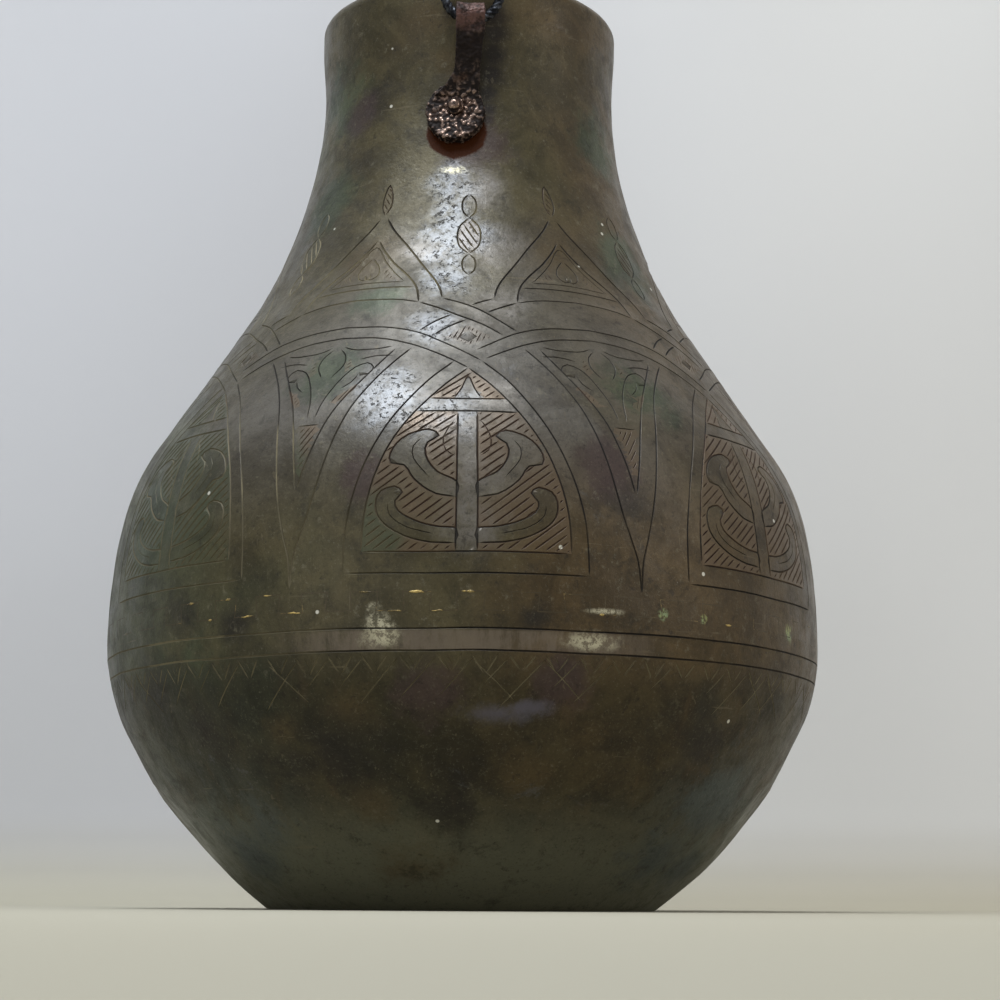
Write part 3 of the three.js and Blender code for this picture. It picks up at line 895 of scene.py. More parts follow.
# %% Roughen a copy of a measured piece
def fine_copy(node, voxel):
    """An evenly meshed copy of a node, as a bmesh."""
    source = bmesh.new()
    source.from_mesh(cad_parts[node].data)
    bmesh.ops.remove_doubles(source, verts=source.verts[:], dist=1e-6)
    mesh = bpy.data.meshes.new(node + "_copy")
    source.to_mesh(mesh)
    source.free()
    draft = bpy.data.objects.new(node + "_copy", mesh)
    bpy.context.collection.objects.link(draft)
    even = draft.modifiers.new("even", "REMESH")
    even.mode = "VOXEL"
    even.voxel_size = voxel * MM
    bpy.context.view_layer.update()
    fine = bmesh.new()
    fine.from_object(draft, bpy.context.evaluated_depsgraph_get())
    bpy.data.objects.remove(draft)
    bmesh.ops.smooth_vert(fine, verts=fine.verts[:], factor=0.5, use_axis_x=True, use_axis_y=True,
                          use_axis_z=True)
    return fine


def roughen(shape, broad, lumps, pits, seed, grains=0.0, calm=1000.0):
    """Moves each point along its normal, in millimetres: hammer marks, lumps, grains and rust pits.

    Above the height calm the grains fade out within 8 mm.
    """
    shape.normal_update()
    proud = shape.verts.layers.float.get("proud") or shape.verts.layers.float.new("proud")
    shift = Vector((seed * 3.1, seed * 1.7, seed * 2.3))
    moves = []
    for vert in shape.verts:
        spot = vert.co / MM + shift
        lump = noise.fractal(spot / 1.5, 0.9, 2.1, 3)
        pit = min(0.0, noise.noise(spot / 0.9 + shift) + 0.15)
        grain = 0.5 - noise.voronoi(spot / 1.8 + 0.3 * noise.noise_vector(spot / 2))[0][0]
        grain *= 1 - 0.75 * min(max((vert.co.z / MM - calm) / 8, 0.0), 1.0)
        vert[proud] = 0.5 + grain + 0.4 * lump
        moves.append(broad * noise.noise(spot / 5) + lumps * lump + pits * pit + grains * grain)
    for vert, move in zip(shape.verts, moves):
        vert.co += vert.normal * move * MM
    for face in shape.faces:
        face.smooth = True


HEAD_MIDDLE = 324.5
HEAD_DRAWN = 2.3
STRAP_FOOT = 333


def draw_out_head(shape):
    """Lengthens a lug's round head a little down the wall, as the hammer left it."""
    out = section_at(way_at(HEAD_MIDDLE - 8))[1]
    for vert in shape.verts:
        share = min(max((HEAD_MIDDLE - vert.co.z / MM) / 12, 0.0), 1.0)
        aside = Vector((vert.co.x, vert.co.y, 0)).normalized()
        vert.co += (aside * out.y - Vector((0, 0, out.x))) * HEAD_DRAWN * share * MM


lugs = {}
for seed, end in enumerate(("front", "rear"), 1):
    forged = fine_copy("lug_" + end, 0.36)
    draw_out_head(forged)
    roughen(forged, broad=0.45, lumps=0.22, pits=0.3, seed=seed, grains=0.85, calm=STRAP_FOOT)
    lugs[end] = as_object("iron_lug_" + end, forged)

# %% [markdown]
# ## Rivets and roves
#
# Each rivet goes through the lug and the neck and is spread over a copper washer, a rove, on the
# inside. The head was shaped with a ring punch: a small dome with a furrow round it. The furrow is
# pressed into a fine copy of the measured rivet, by the distance from the rivet's own axis.

# %% Ring the rivet heads
RIVET_WAY = way_at(328.5)


def rivet_axis(end):
    box = [Vector(c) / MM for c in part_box("rivet_" + end)]
    middle = (box[0] + box[1]) / 2
    angle = math.atan2(middle.x, -middle.y)
    out = section_at(RIVET_WAY)[1]
    return middle, Vector((out.x * math.sin(angle), -out.x * math.cos(angle), out.y))


rivets, roves = {}, {}
for seed, end in enumerate(("front", "rear"), 3):
    head = fine_copy("rivet_" + end, 0.22)
    middle, axis = rivet_axis(end)
    proud = head.verts.layers.float.new("proud")
    roughen(head, 0.08, 0.1, 0.12, seed, 0.2)
    for vert in head.verts:
        gap = vert.co / MM - middle
        along = gap.dot(axis)
        radius = (gap - axis * along).length
        if along > 0:
            ring = math.exp(-((radius - 2.9) / 0.45) ** 2)
            dome = max(0.0, 1 - (radius / 2.6) ** 2)
            vert.co += axis * (0.45 * dome - 0.8 * ring) * MM
            vert[proud] += 0.35 - 1.1 * ring
    rivets[end] = as_object("iron_rivet_" + end, head)
    washer = fine_copy("rove_" + end, 0.3)
    roughen(washer, 0.12, 0.03, 0.0, seed + 4)
    roves[end] = as_object("copper_rove_" + end, washer)
    print(end, "rivet axis", [round(v, 2) for v in axis])

# %% [markdown]
# ## The twisted bail
#
# The bail is a square iron bar, twisted hot so that its four edges wind round it like a rope, drawn
# thinner towards its ends and welded to two twisted rings. A screw modifier can't follow an arch, so
# a rounded square is extruded step by step along the bar's middle line and turned a little at each
# step, which is just how the smith made it.

# %% Twist a bar along a line
def rounded_square(shape, half, round_by):
    """A square face with rounded corners, lying in the XY plane."""
    ring = bmesh.ops.create_circle(shape, cap_ends=False, segments=16, radius=1.0)["verts"]
    for vert in ring:
        angle = math.atan2(vert.co.y, vert.co.x)
        corner = abs(math.sin(2 * angle))
        reach = half * (1 - round_by * corner)
        vert.co = Vector((math.cos(angle) * reach, math.sin(angle) * reach, 0))
    return ring


def twisted_bar(middle, run, across, half, quarter_turns, steps, closed):
    """Extrudes a turning section. middle, run, across and half are functions of 0..1."""
    shape = bmesh.new()
    ring = rounded_square(shape, 1.0, 0.24)
    plain = [vert.co.copy() for vert in ring]
    edges = [edge for edge in shape.edges]

    def settle(verts, share):
        flat = across(share)
        side_way = flat.cross(run(share)).normalized()
        turn = share * quarter_turns * math.pi / 2
        size = half(share)
        for vert, spot in zip(verts, plain):
            x = spot.x * math.cos(turn) - spot.y * math.sin(turn)
            y = spot.x * math.sin(turn) + spot.y * math.cos(turn)
            vert.co = (middle(share) + side_way * x * size + flat * y * size) * MM

    settle(ring, 0.0)
    first_edges = edges
    for i in range(1, steps + (0 if closed else 1)):
        made = bmesh.ops.extrude_edge_only(shape, edges=edges)["geom"]
        edges = [g for g in made if isinstance(g, bmesh.types.BMEdge) and len(g.link_faces) == 1]
        fresh = {g for g in made if isinstance(g, bmesh.types.BMVert)}
        ring = [next(e.other_vert(v) for e in v.link_edges if e.other_vert(v) in fresh) for v in ring]
        settle(ring, i / steps)
    if closed:
        bmesh.ops.bridge_loops(shape, edges=edges + first_edges)
    else:
        bmesh.ops.holes_fill(shape, edges=shape.edges[:], sides=0)
    bmesh.ops.recalc_face_normals(shape, faces=shape.faces)
    return shape


# %% Forge the bail
HINGE_HEIGHT = 378.0
HINGE_REACH = 72.4
RING_RADIUS = 11.6
RING_TOP = HINGE_HEIGHT + RING_RADIUS
BAIL_RISE = 82.0


def ring_at(side_y):
    def middle(t):
        return Vector((RING_RADIUS * math.sin(FULL_TURN * t), side_y * HINGE_REACH,
                       HINGE_HEIGHT + RING_RADIUS * math.cos(FULL_TURN * t)))

    def run(t):
        return Vector((math.cos(FULL_TURN * t), 0, -math.sin(FULL_TURN * t)))

    return twisted_bar(middle, run, lambda t: Vector((0, 1, 0)), lambda t: 2.12, 28, 224, True)


def arch_middle(t):
    return Vector((0, -HINGE_REACH * math.cos(math.pi * t), RING_TOP + BAIL_RISE * math.sin(math.pi * t)))


def arch_run(t):
    return Vector((0, HINGE_REACH * math.sin(math.pi * t), BAIL_RISE * math.cos(math.pi * t))).normalized()


bars = [ring_at(-1), ring_at(1),
        twisted_bar(arch_middle, arch_run, lambda t: Vector((1, 0, 0)),
                    lambda t: 2.3 + 1.7 * math.sin(math.pi * t), 44, 440, False)]
for side_y in (-1, 1):
    weld = bmesh.new()
    bmesh.ops.create_icosphere(weld, subdivisions=4, radius=3.5 * MM,
                               matrix=Matrix.Translation(Vector((0, side_y * HINGE_REACH, RING_TOP)) * MM))
    bars.append(weld)
bail_names = ["bail_ring_front", "bail_ring_rear", "bail_arch", "bail_weld_front", "bail_weld_rear"]
bail_pieces = []
for seed, (name, bar) in enumerate(zip(bail_names, bars), 9):
    roughen(bar, 0.12, 0.06, 0.1, seed)
    bail_pieces.append(as_object(name, bar))

# %% [markdown]
# ## Mixing finishes
#
# Every finish here is mixed from the same few things: soft clouds of noise at the right size, a
# threshold that turns a cloud into patches, and colours laid over each other through those patches.
# A small bench for wiring nodes keeps each recipe readable. All patterns are placed by the object's
# own coordinates, so they stay on the metal when the bail swings.


# %% Set up the mixing bench
class Finish:
    def __init__(self, name):
        self.material = bpy.data.materials.new(name)
        self.material.use_nodes = True
        self.tree = self.material.node_tree
        self.metal = self.tree.nodes["Principled BSDF"]
        self.here = self.tree.nodes.new("ShaderNodeTexCoord").outputs["Object"]

    def node(self, kind, inputs=(), **settings):
        made = self.tree.nodes.new(kind)
        for key, value in settings.items():
            setattr(made, key, value)
        for key, value in dict(inputs).items():
            if isinstance(value, bpy.types.NodeSocket):
                self.tree.links.new(value, made.inputs[key])
            else:
                made.inputs[key].default_value = value
        return made

    def stretched(self, scale, shift=(0, 0, 0)):
        return self.node("ShaderNodeMapping", {0: self.here, 1: shift, 3: scale}).outputs[0]

    def cloud(self, scale, detail=4, rough=0.6, where=None, warp=0.0):
        inputs = {"Vector": where or self.here, "Scale": scale, "Detail": detail, "Roughness": rough,
                  "Distortion": warp}
        return self.node("ShaderNodeTexNoise", inputs).outputs["Fac"]

    def ramp(self, value, low, high, start=0.0, end=1.0):
        inputs = {"Value": value, "From Min": low, "From Max": high, "To Min": start, "To Max": end}
        return self.node("ShaderNodeMapRange", inputs, interpolation_type="SMOOTHSTEP").outputs[0]

    def sum(self, a, b, operation="ADD"):
        return self.node("ShaderNodeMath", {0: a, 1: b}, operation=operation).outputs[0]

    def times(self, a, b):
        return self.sum(a, b, "MULTIPLY")

    def colour(self, low, high, share):
        inputs = {0: share, 6: low, 7: high}
        return self.node("ShaderNodeMix", inputs, data_type="RGBA").outputs[2]

    def lay(self, colour, share):
        """Lays a colour over what is there already, as thick as share says."""
        self.base = self.colour(self.base, colour, share)

    def level(self, low, high, share):
        return self.node("ShaderNodeMix", {0: share, 2: low, 3: high}).outputs[0]

    def near(self, spot, reach, ragged, edge=0.5, where=None):
        """1 near a place on the pot and 0 beyond reach, with a ragged edge. Metres."""
        inputs = {0: where or self.here, 1: spot}
        gap = self.node("ShaderNodeVectorMath", inputs, operation="DISTANCE").outputs["Value"]
        return self.ramp(self.sum(gap, self.times(ragged, reach)), reach, reach * edge)

    def axis(self, letter):
        return self.node("ShaderNodeSeparateXYZ", {0: self.here}).outputs[letter]

    def height(self):
        return self.axis("Z")

    def attribute(self, name):
        """A number that the mesh carries at each point or face."""
        return self.node("ShaderNodeAttribute", attribute_name=name).outputs["Fac"]

    def set(self, **sockets):
        for key, value in sockets.items():
            name = key.replace("_", " ").title().replace("Ior", "IOR")
            if isinstance(value, bpy.types.NodeSocket):
                self.tree.links.new(value, self.metal.inputs[name])
            else:
                self.metal.inputs[name].default_value = value

    def bump(self, height, strength, distance):
        below = self.metal.inputs["Normal"].links
        inputs = {"Height": height, "Strength": strength, "Distance": distance}
        if below:
            inputs["Normal"] = below[0].from_socket
        made = self.node("ShaderNodeBump", inputs)
        self.tree.links.new(made.outputs[0], self.metal.inputs["Normal"])


def tint(red, green, blue):
    """A colour written in 0..255 as it looks, turned to linear light."""
    parts = [c / 255 for c in (red, green, blue)]
    return (*[c / 12.92 if c < 0.04 else ((c + 0.055) / 1.055) ** 2.4 for c in parts], 1.0)


# %% [markdown]
# ## The patina
#
# The pot was tinned copper once. Use and time have left several things on it, and the finish lays
# them over each other in the order in which they came. First comes the oxide: olive-brown, greener
# on the left and browner on the right, and greyer in front, partly where hands rubbed it and partly
# as painted sheen. Below the belly it is streaked, and darkened as painted shade where the wall turns
# down. A photograph as a texture would freeze one side. Clouds of noise, gathered round named places,
# give every side its own skin and can be made again.


# %% Set up the copper's own clouds and masks
class Patina(Finish):
    def __init__(self, name):
        super().__init__(name)
        self.broad = self.cloud(9, 3, 0.55, warp=0.5)
        self.mottle = self.ramp(self.cloud(40, 7, 0.7, warp=0.5), 0.36, 0.64)
        self.blotch = self.cloud(88, 6, 0.76, warp=0.3)
        self.crumbs = self.cloud(210, 5, 0.75)
        self.fine = self.cloud(420, 4, 0.7)
        self.grit = self.cloud(950, 4, 0.8)
        self.ragged = self.sum(self.cloud(40, 9, 0.8), -0.5)
        self.across = self.sum(self.axis("X"), self.times(self.sum(self.broad, -0.5), 0.35))
        self.low = self.ramp(self.height(), 0.098, 0.078)

    def gathered(self, places, edge=0.45, rag=3.0):
        """1 in the places and 0 outside them, with one ragged edge."""
        mask = None
        uneven = self.times(self.ragged, rag)
        for degrees, height, reach in places:
            spot = on_wall(math.radians(degrees), way_at(height)) * MM
            here = self.near(spot, reach * MM, uneven, edge)
            mask = here if mask is None else self.sum(mask, here, "MAXIMUM")
        return mask

    def stain_and_painted_light(self, colour, places, share, edge=0.0, rag=3.0):
        """Lays a colour over some places, as thick as share says: real stains, and also painted shadow and
        reflection.
        """
        self.lay(tint(*colour), self.times(self.gathered(places, edge, rag), share))

    def smear(self, degrees, height, reach, squash):
        """1 in a place that is longer sideways than high, with a ragged edge."""
        spot = on_wall(math.radians(degrees), way_at(height)) * MM
        spot = Vector((spot.x * squash, spot.y * squash, spot.z))
        where = self.stretched((squash, squash, 1))
        return self.near(spot, reach * MM, self.times(self.ragged, 2.5), 0.0, where)


skin = Patina("aged_copper")
print(len(skin.tree.nodes), "nodes of clouds and masks")

# %% Lay the oxide
# Each place is (degrees from the front, height and reach in millimetres).
GREEN_PLACES = [(-44, 82, 26), (-34, 74, 20), (-58, 152, 30), (-57, 342, 24), (-52, 296, 20),
                (57, 323, 20), (50, 268, 24), (31, 198, 21), (-27, 204, 19), (-22, 240, 14),
                (-62, 50, 24), (112, 82, 40), (-120, 200, 40), (180, 300, 30), (140, 160, 30),
                (88, 250, 24)]
olive = skin.colour(tint(62, 56, 35), tint(86, 78, 52), skin.mottle)
brown = skin.colour(tint(66, 53, 31), tint(90, 73, 45), skin.mottle)
green = skin.colour(tint(46, 55, 36), tint(70, 80, 55), skin.mottle)
rubbed_grey_and_sheen = skin.colour(tint(78, 73, 65), tint(102, 98, 91), skin.mottle)
skin.base = skin.colour(olive, brown, skin.ramp(skin.across, -0.02, 0.09))
skin.lay(green, skin.ramp(skin.across, -0.07, -0.14, 0, 0.6))
# The front is greyer: partly rubbed by hands, partly painted sheen standing in for reflected light.
front = skin.times(skin.ramp(skin.axis("Y"), -0.06, -0.12), skin.ramp(skin.height(), 0.13, 0.19))
skin.lay(rubbed_grey_and_sheen, skin.times(front, skin.ramp(skin.broad, 0.38, 0.54, 0.4, 0.95)))
skin.lay(green, skin.times(skin.gathered(GREEN_PLACES, 0.3), 0.85))
print(len(GREEN_PLACES), "green places")

# %% Darken the copper below the belly as painted shade, and streak it
low = skin.low
# Painted shade: the wall below the belly faces down, away from the lamps, so its colour is darkened by
# height.
skin.lay(skin.colour(tint(34, 30, 18), tint(60, 53, 33), skin.mottle), skin.times(low, 0.75))
streak = skin.cloud(26, 5, 0.6, skin.stretched((3.6, 3.6, 0.3)), 0.3)
skin.lay(tint(78, 62, 40), skin.times(skin.ramp(streak, 0.56, 0.7, 0, 0.6), low))
sideways = skin.ramp(skin.sum(skin.axis("X"), 0.0, "ABSOLUTE"), 0.05, 0.1)
foot = skin.ramp(skin.height(), 0.062, 0.03, 0.12, 1.0)
# Painted reflection: low on both sides, where the wall is seen edge-on, a streaky grey stands in for the
# pale table reflected in the copper.
table_reflection_grey = skin.times(skin.ramp(streak, 0.6, 0.38, 0, 0.85), skin.times(sideways, foot))
skin.lay(tint(78, 86, 80), skin.times(table_reflection_grey, low))
# Darker still low on the left.
low_left_darkening = skin.times(skin.ramp(skin.across, -0.02, -0.07), low)
skin.lay(tint(30, 34, 25), skin.times(low_left_darkening, 0.35))
# Lighter towards the base: edge wear, and painted reflection of the table.
skin.lay(tint(120, 121, 102), skin.ramp(skin.height(), 0.05, 0.006, 0, 0.9))
print(len(skin.tree.nodes), "nodes with the oxide")

# %% [markdown]
# ## Stains, crumbs and the last of the tin
#
# Over the oxide lie ochre and purple stains and near-black dirt in patches. Some of what follows is
# painted light: a streaky grey low on the sides and a lilac smear low in front are painted reflections
# of the table, a faint lighter grey up the front and between the belly bands is painted sheen, and a
# painted shadow lies beside each lug's strap and head. Then come crumbs and fine scratches. What is
# left of the tin is cold grey and pitted, in islands up the front and on the back, and a few pale
# flakes stick to the bands, so bright that they are partly a painted highlight of the tin's glint.
# All of them are thin, so they are colour and shine, not shape.

# %% Lay the stains, the painted shadow, reflection and sheen, the crumbs and the scratches
OCHRE_PLACES = [(-16, 372, 15), (-9, 352, 11), (-27, 258, 22), (24, 262, 14), (-17, 40, 15),
                (-11, 18, 20), (-3, 158, 9), (10, 50, 14), (18, 64, 10), (-18, 74, 13), (-30, 66, 10),
                (6, 93, 8), (120, 150, 30), (-140, 300, 24)]
DARK_PLACES = [(-46, 68, 20), (-56, 80, 14), (-35, 336, 17), (-42, 312, 14), (-47, 110, 13),
               (-36, 106, 12), (-21, 55, 26), (9, 104, 8), (23, 152, 14), (-2, 38, 22), (40, 60, 20),
               (92, 60, 30), (-100, 104, 26), (198, 110, 20), (130, 240, 20)]
SHADE_PLACES = [(8.5, 372, 10), (8.5, 364, 11), (8.2, 355, 11), (7.6, 346, 9), (6, 337, 7),
                (-8, 374, 6), (6.5, 330, 5), (6, 325, 4)]
PURPLE_PLACES = [(2, 312, 20), (-6, 80, 17), (14, 84, 17), (21, 166, 18), (-46, 334, 14),
                 (-16, 158, 13), (182, 316, 18), (160, 90, 24)]
TABLE_REFLECTION_PLACES = [(-52, 22, 24), (-42, 32, 18), (52, 42, 28), (44, 20, 22), (60, 16, 18), (140, 50, 26),
               (-130, 40, 24)]
PAINTED_SHEEN_PLACES = [(-3, 178, 20), (4, 190, 17), (-9, 190, 16), (1, 160, 22), (0, 141, 19),
                (-2, 224, 18), (8, 236, 16), (6, 262, 20), (4, 292, 18), (-12, 262, 14),
                (150, 190, 30), (-110, 240, 26)]
skin.stain_and_painted_light((86, 71, 44), OCHRE_PLACES, 0.55)
skin.stain_and_painted_light((34, 30, 26), DARK_PLACES, 0.75)
# Painted shadow: dark patches right of each lug's strap and head, where they would cast shade on the neck.
skin.stain_and_painted_light((28, 21, 19), SHADE_PLACES, 0.85, 0.1, 1.2)
skin.stain_and_painted_light((70, 55, 53), PURPLE_PLACES, 0.75, 0.2)
# Painted reflection: grey low on the sides stands in for the pale table seen in the copper.
skin.stain_and_painted_light((76, 84, 82), TABLE_REFLECTION_PLACES, 0.8, 0.1)
# Painted sheen: a lighter grey up the front stands in for reflected light; the same places are also more
# metallic.
painted_sheen = skin.times(skin.gathered(PAINTED_SHEEN_PLACES, 0.0, 2.0), skin.ramp(skin.blotch, 0.62, 0.42, 0.4, 0.95))
skin.lay(tint(124, 119, 112), painted_sheen)
skin.lay(tint(32, 29, 22), skin.ramp(skin.blotch, 0.53, 0.7, 0, 0.5))
light = skin.times(skin.ramp(skin.crumbs, 0.57, 0.72, 0, 0.5), skin.ramp(low, 0, 1, 1, 0.45))
skin.lay(tint(122, 117, 98), light)
skin.lay(tint(24, 21, 17), skin.ramp(skin.crumbs, 0.43, 0.32, 0, 0.5))
skin.lay(tint(28, 25, 20), skin.ramp(skin.grit, 0.46, 0.3, 0, 0.5))
skin.lay(tint(134, 128, 110), skin.ramp(skin.grit, 0.56, 0.72, 0, 0.35))
for stretch, shift in (((16, 16, 1), 2), ((1, 1, 18), 9), ((12, 2, 7), 4)):
    scratch = skin.cloud(26, 3, 0.6, skin.stretched(stretch, (shift, shift, shift)))
    skin.lay(tint(116, 106, 84), skin.ramp(scratch, 0.69, 0.73, 0, 0.35))
print(len(skin.tree.nodes), "nodes with the stains")

# %% Lay what is left of the tin, the pale flakes with a painted highlight, and a painted reflection
# Each smear has one number more: it is measured in space squashed so much sideways, so that it
# comes out long.
TIN_PLACES = [(-6, 293, 17), (-5, 270, 20), (-6, 248, 15), (-8, 223, 16), (-14, 193, 22),
              (-4, 182, 20), (-6, 282, 13), (-6, 260, 13), (150, 290, 24), (143, 272, 18),
              (118, 215, 22), (110, 228, 16), (-140, 122, 14), (-133, 128, 18), (172, 182, 14),
              (166, 172, 17), (-160, 255, 18), (-168, 243, 12)]
FLAKE_AND_GLINT_SMEARS = [(-12.5, 98, 5.5, 0.55), (-13, 103.5, 5.5, 0.9), (-13.5, 108.5, 2.6, 0.7),
                (16.5, 97.2, 4.5, 0.3), (19, 108.6, 1.3, 0.15), (-5.5, 301, 2.2, 0.28),
                (130, 100, 5, 0.5)]
LILAC_REFLECTION_SMEARS = [(4, 71, 5.5, 0.3), (9, 73.5, 3.5, 0.3), (150, 160, 8, 0.3)]
pits = skin.ramp(skin.cloud(520, 5, 0.75), 0.44, 0.37)
holes = skin.ramp(skin.cloud(150, 6, 0.8), 0.34, 0.56, 0.35, 1.0)
specks = skin.ramp(skin.cloud(21, 7, 0.74, warp=0.8), 0.62, 0.7, 0, 0.35)
tin = skin.sum(skin.times(skin.gathered(TIN_PLACES, 0.2, 2.4), holes), specks, "MAXIMUM")
# Painted sheen: the strip between the belly bands is lighter on the front only, broken up by a stretched
# cloud.
band_painted_sheen = skin.times(skin.ramp(skin.height(), 0.0925, 0.0938), skin.ramp(skin.height(), 0.1012, 0.0998))
band_painted_sheen = skin.times(band_painted_sheen, skin.ramp(skin.axis("Y"), -0.127, -0.145))
band_sheen_cloud = skin.cloud(60, 6, 0.75, skin.stretched((2.5, 2.5, 0.5)))
skin.lay(tint(124, 112, 100), skin.times(band_painted_sheen, skin.ramp(band_sheen_cloud, 0.36, 0.6, 0.15, 0.7)))
skin.lay(tint(109, 111, 114), skin.times(tin, 0.85))
skin.lay(tint(48, 44, 39), skin.times(skin.times(tin, pits), 0.75))
crust = skin.ramp(skin.cloud(330, 6, 0.85), 0.45, 0.54, 0.15, 1.0)
# The flakes' bright cream is partly a painted highlight, standing in for the glint of the tin on the bands.
for smear in FLAKE_AND_GLINT_SMEARS:
    skin.lay(tint(196, 190, 164), skin.times(skin.smear(*smear), crust))
# Painted reflection: lilac smears low in front stand in for the table reflected where the wall turns down.
for smear in LILAC_REFLECTION_SMEARS:
    skin.lay(tint(91, 88, 99), skin.times(skin.smear(*smear), 0.75))
print(len(TIN_PLACES), "patches of tin")

# %% [markdown]
# ## Dirt in the cuts, rust and painted shadow under the lugs, and crumbs of verdigris
#
# The hatched ground is warm brown, greener to the left. The furrows hold dirt: dark in front, and
# pale on the left and below the bands, where dust and polish dried in them. That could be painted
# along the lines, but the mesh knows its furrows: each point carries its depth, and each face says
# whether it is hatched ground. Under each lug's head lies a dark rust-brown crescent, partly rust run
# from the iron and partly painted shadow of the head, and it isn't metal any more.

# %% Colour the hatched ground and the furrows
hatched = skin.attribute("hatched")
leftward = skin.ramp(skin.across, -0.03, -0.09)
ground = skin.colour(tint(112, 93, 72), tint(80, 86, 64), skin.ramp(skin.across, -0.036, -0.062))
panels = skin.ramp(skin.height(), 0.215, 0.19, 0.35, 1.0)
patchy = skin.level(0.65, skin.level(0.3, 0.05, leftward), skin.mottle)
skin.lay(ground, skin.times(skin.times(hatched, panels), patchy))
in_furrow = skin.ramp(skin.attribute("groove"), 0.0, 0.14)
pale = skin.ramp(skin.cloud(13, 3, 0.5, skin.stretched((1, 1, 1), (5, 5, 5))), 0.52, 0.6)
pale = skin.times(pale, skin.ramp(skin.across, -0.01, -0.04))
pale = skin.sum(pale, skin.times(leftward, skin.level(0.6, 1.0, low)), "MAXIMUM")
pale = skin.sum(pale, skin.ramp(skin.height(), 0.0922, 0.0912, 0, 0.85), "MAXIMUM")
dirt = skin.colour(tint(24, 19, 15), tint(58, 39, 27), hatched)
worn = skin.ramp(skin.cloud(34, 6, 0.7), 0.36, 0.56, 0.5, 0.95)
skin.lay(skin.colour(dirt, tint(136, 127, 100), pale), skin.times(in_furrow, worn))
print(len(skin.tree.nodes), "nodes with the cuts")

# %% Lay the rust and painted shadow under the lugs, verdigris and a few white specks
RUST_AND_HEAD_SHADOW_PLACES = [(-5.2, 318.8, 13.2), (174.8, 318.8, 13.2)]
VERDIGRIS_PLACES = [(28.6, 109.5, 2.6), (35.9, 108.6, 2.1), (58, 109, 5), (150, 112, 4)]
# The crescent under each lug's head is partly rust run from the iron and partly painted shadow of the head.
rust = skin.gathered(RUST_AND_HEAD_SHADOW_PLACES, 0.9, 0.5)
skin.lay(tint(62, 32, 15), rust)
verdigris = skin.times(skin.gathered(VERDIGRIS_PLACES, 0.4), skin.ramp(skin.fine, 0.42, 0.56))
skin.lay(skin.colour(tint(112, 140, 118), tint(156, 158, 92), skin.mottle), verdigris)
cells = skin.node("ShaderNodeTexVoronoi", {"Vector": skin.here, "Scale": 90.0})
chosen = skin.node("ShaderNodeSeparateColor", {0: cells.outputs["Color"]}).outputs[0]
speck = skin.times(skin.ramp(cells.outputs["Distance"], 0.085, 0.05), skin.ramp(chosen, 0.93, 0.935))
skin.lay(tint(214, 212, 200), speck)
print(len(VERDIGRIS_PLACES), "crumbs of verdigris")

# %% Give the copper its metal, its shine and its finest relief
metal = skin.level(skin.level(0.3, 0.45, painted_sheen), 0.8, tin)
rough = skin.level(0.34, 0.52, skin.ramp(skin.blotch, 0.36, 0.66))
rough = skin.level(rough, skin.level(0.3, 0.52, pits), tin)
skin.set(base_color=skin.base, metallic=skin.level(metal, 0.0, rust),
         roughness=skin.level(rough, 0.8, skin.times(in_furrow, 0.7)),
         specular_ior_level=skin.level(skin.level(0.5, 0.32, low), 0.05, rust))
for height, strength, distance in ((skin.fine, 0.22, 0.0004), (skin.crumbs, 0.2, 0.0006),
                                   (skin.grit, 0.12, 0.0002), (skin.blotch, 0.16, 0.0007),
                                   (skin.times(pits, tin), 0.5, -0.0003)):
    skin.bump(height, strength, distance)
copper = skin.material
print(len(skin.tree.nodes), "nodes in the whole patina")

# %% [markdown]
# ## Iron and brass
#
# The lugs are brown-black scale with rust in the hollows and bright worn tips, dimmed on the straps
# as painted shade. Their rolled eyes are redder and lighter, worn and partly a painted highlight, with
# a painted shadow on the strap below. The bail is cleaner, blue-black from the fire and rubbed by
# hands. The brass beads are dull yellow under the same dirt. A metal colour alone would look new, so
# each is mixed from clouds in the same way as the copper.


# %% Mix the irons and the brass
def scaly_iron(name):
    """Grains of black scale with worn tops, and brown rust between them.

    Above the lug's head painted light is laid by height: the tops are dimmed as painted shade, the
    rolled eye is lighter, worn and partly a painted highlight, and a painted shadow lies below it.
    """
    iron = Finish(name)
    proud = iron.attribute("proud")
    cloud = iron.cloud(300, 5, 0.7)
    tops = iron.ramp(iron.sum(proud, iron.times(iron.sum(cloud, -0.5), 1.1)), 0.42, 0.98)
    # Painted shade: above the head the strap leans out and faces down, so its bright tops are dimmed by
    # height.
    tops = iron.times(tops, iron.ramp(iron.height(), 0.334, 0.342, 1.0, 0.25))
    iron.base = iron.colour(tint(22, 12, 9), tint(158, 135, 122), tops)
    rust = iron.ramp(iron.cloud(75, 5, 0.65), 0.52, 0.7)
    iron.lay(tint(86, 56, 36), iron.times(rust, 0.35))
    # The rolled eye is redder and lighter: worn, and partly a painted highlight where the eye faces the
    # lamp.
    eye_wear_and_highlight = iron.times(iron.ramp(iron.height(), 0.358, 0.364), iron.ramp(cloud, 0.38, 0.6, 0.1, 0.8))
    iron.lay(tint(104, 76, 70), eye_wear_and_highlight)
    # Painted shadow: a dark band on the strap just below the eye.
    shaded = iron.times(iron.ramp(iron.height(), 0.346, 0.35), iron.ramp(iron.height(), 0.361, 0.357))
    iron.lay(tint(20, 8, 5), iron.times(shaded, 0.8))
    iron.set(base_color=iron.base, metallic=iron.level(0.3, 0.95, tops))
    iron.set(roughness=iron.level(iron.level(0.6, 0.42, eye_wear_and_highlight), 0.2, tops), specular_ior_level=0.3)
    iron.bump(cloud, 0.35, 0.0004)
    return iron.material


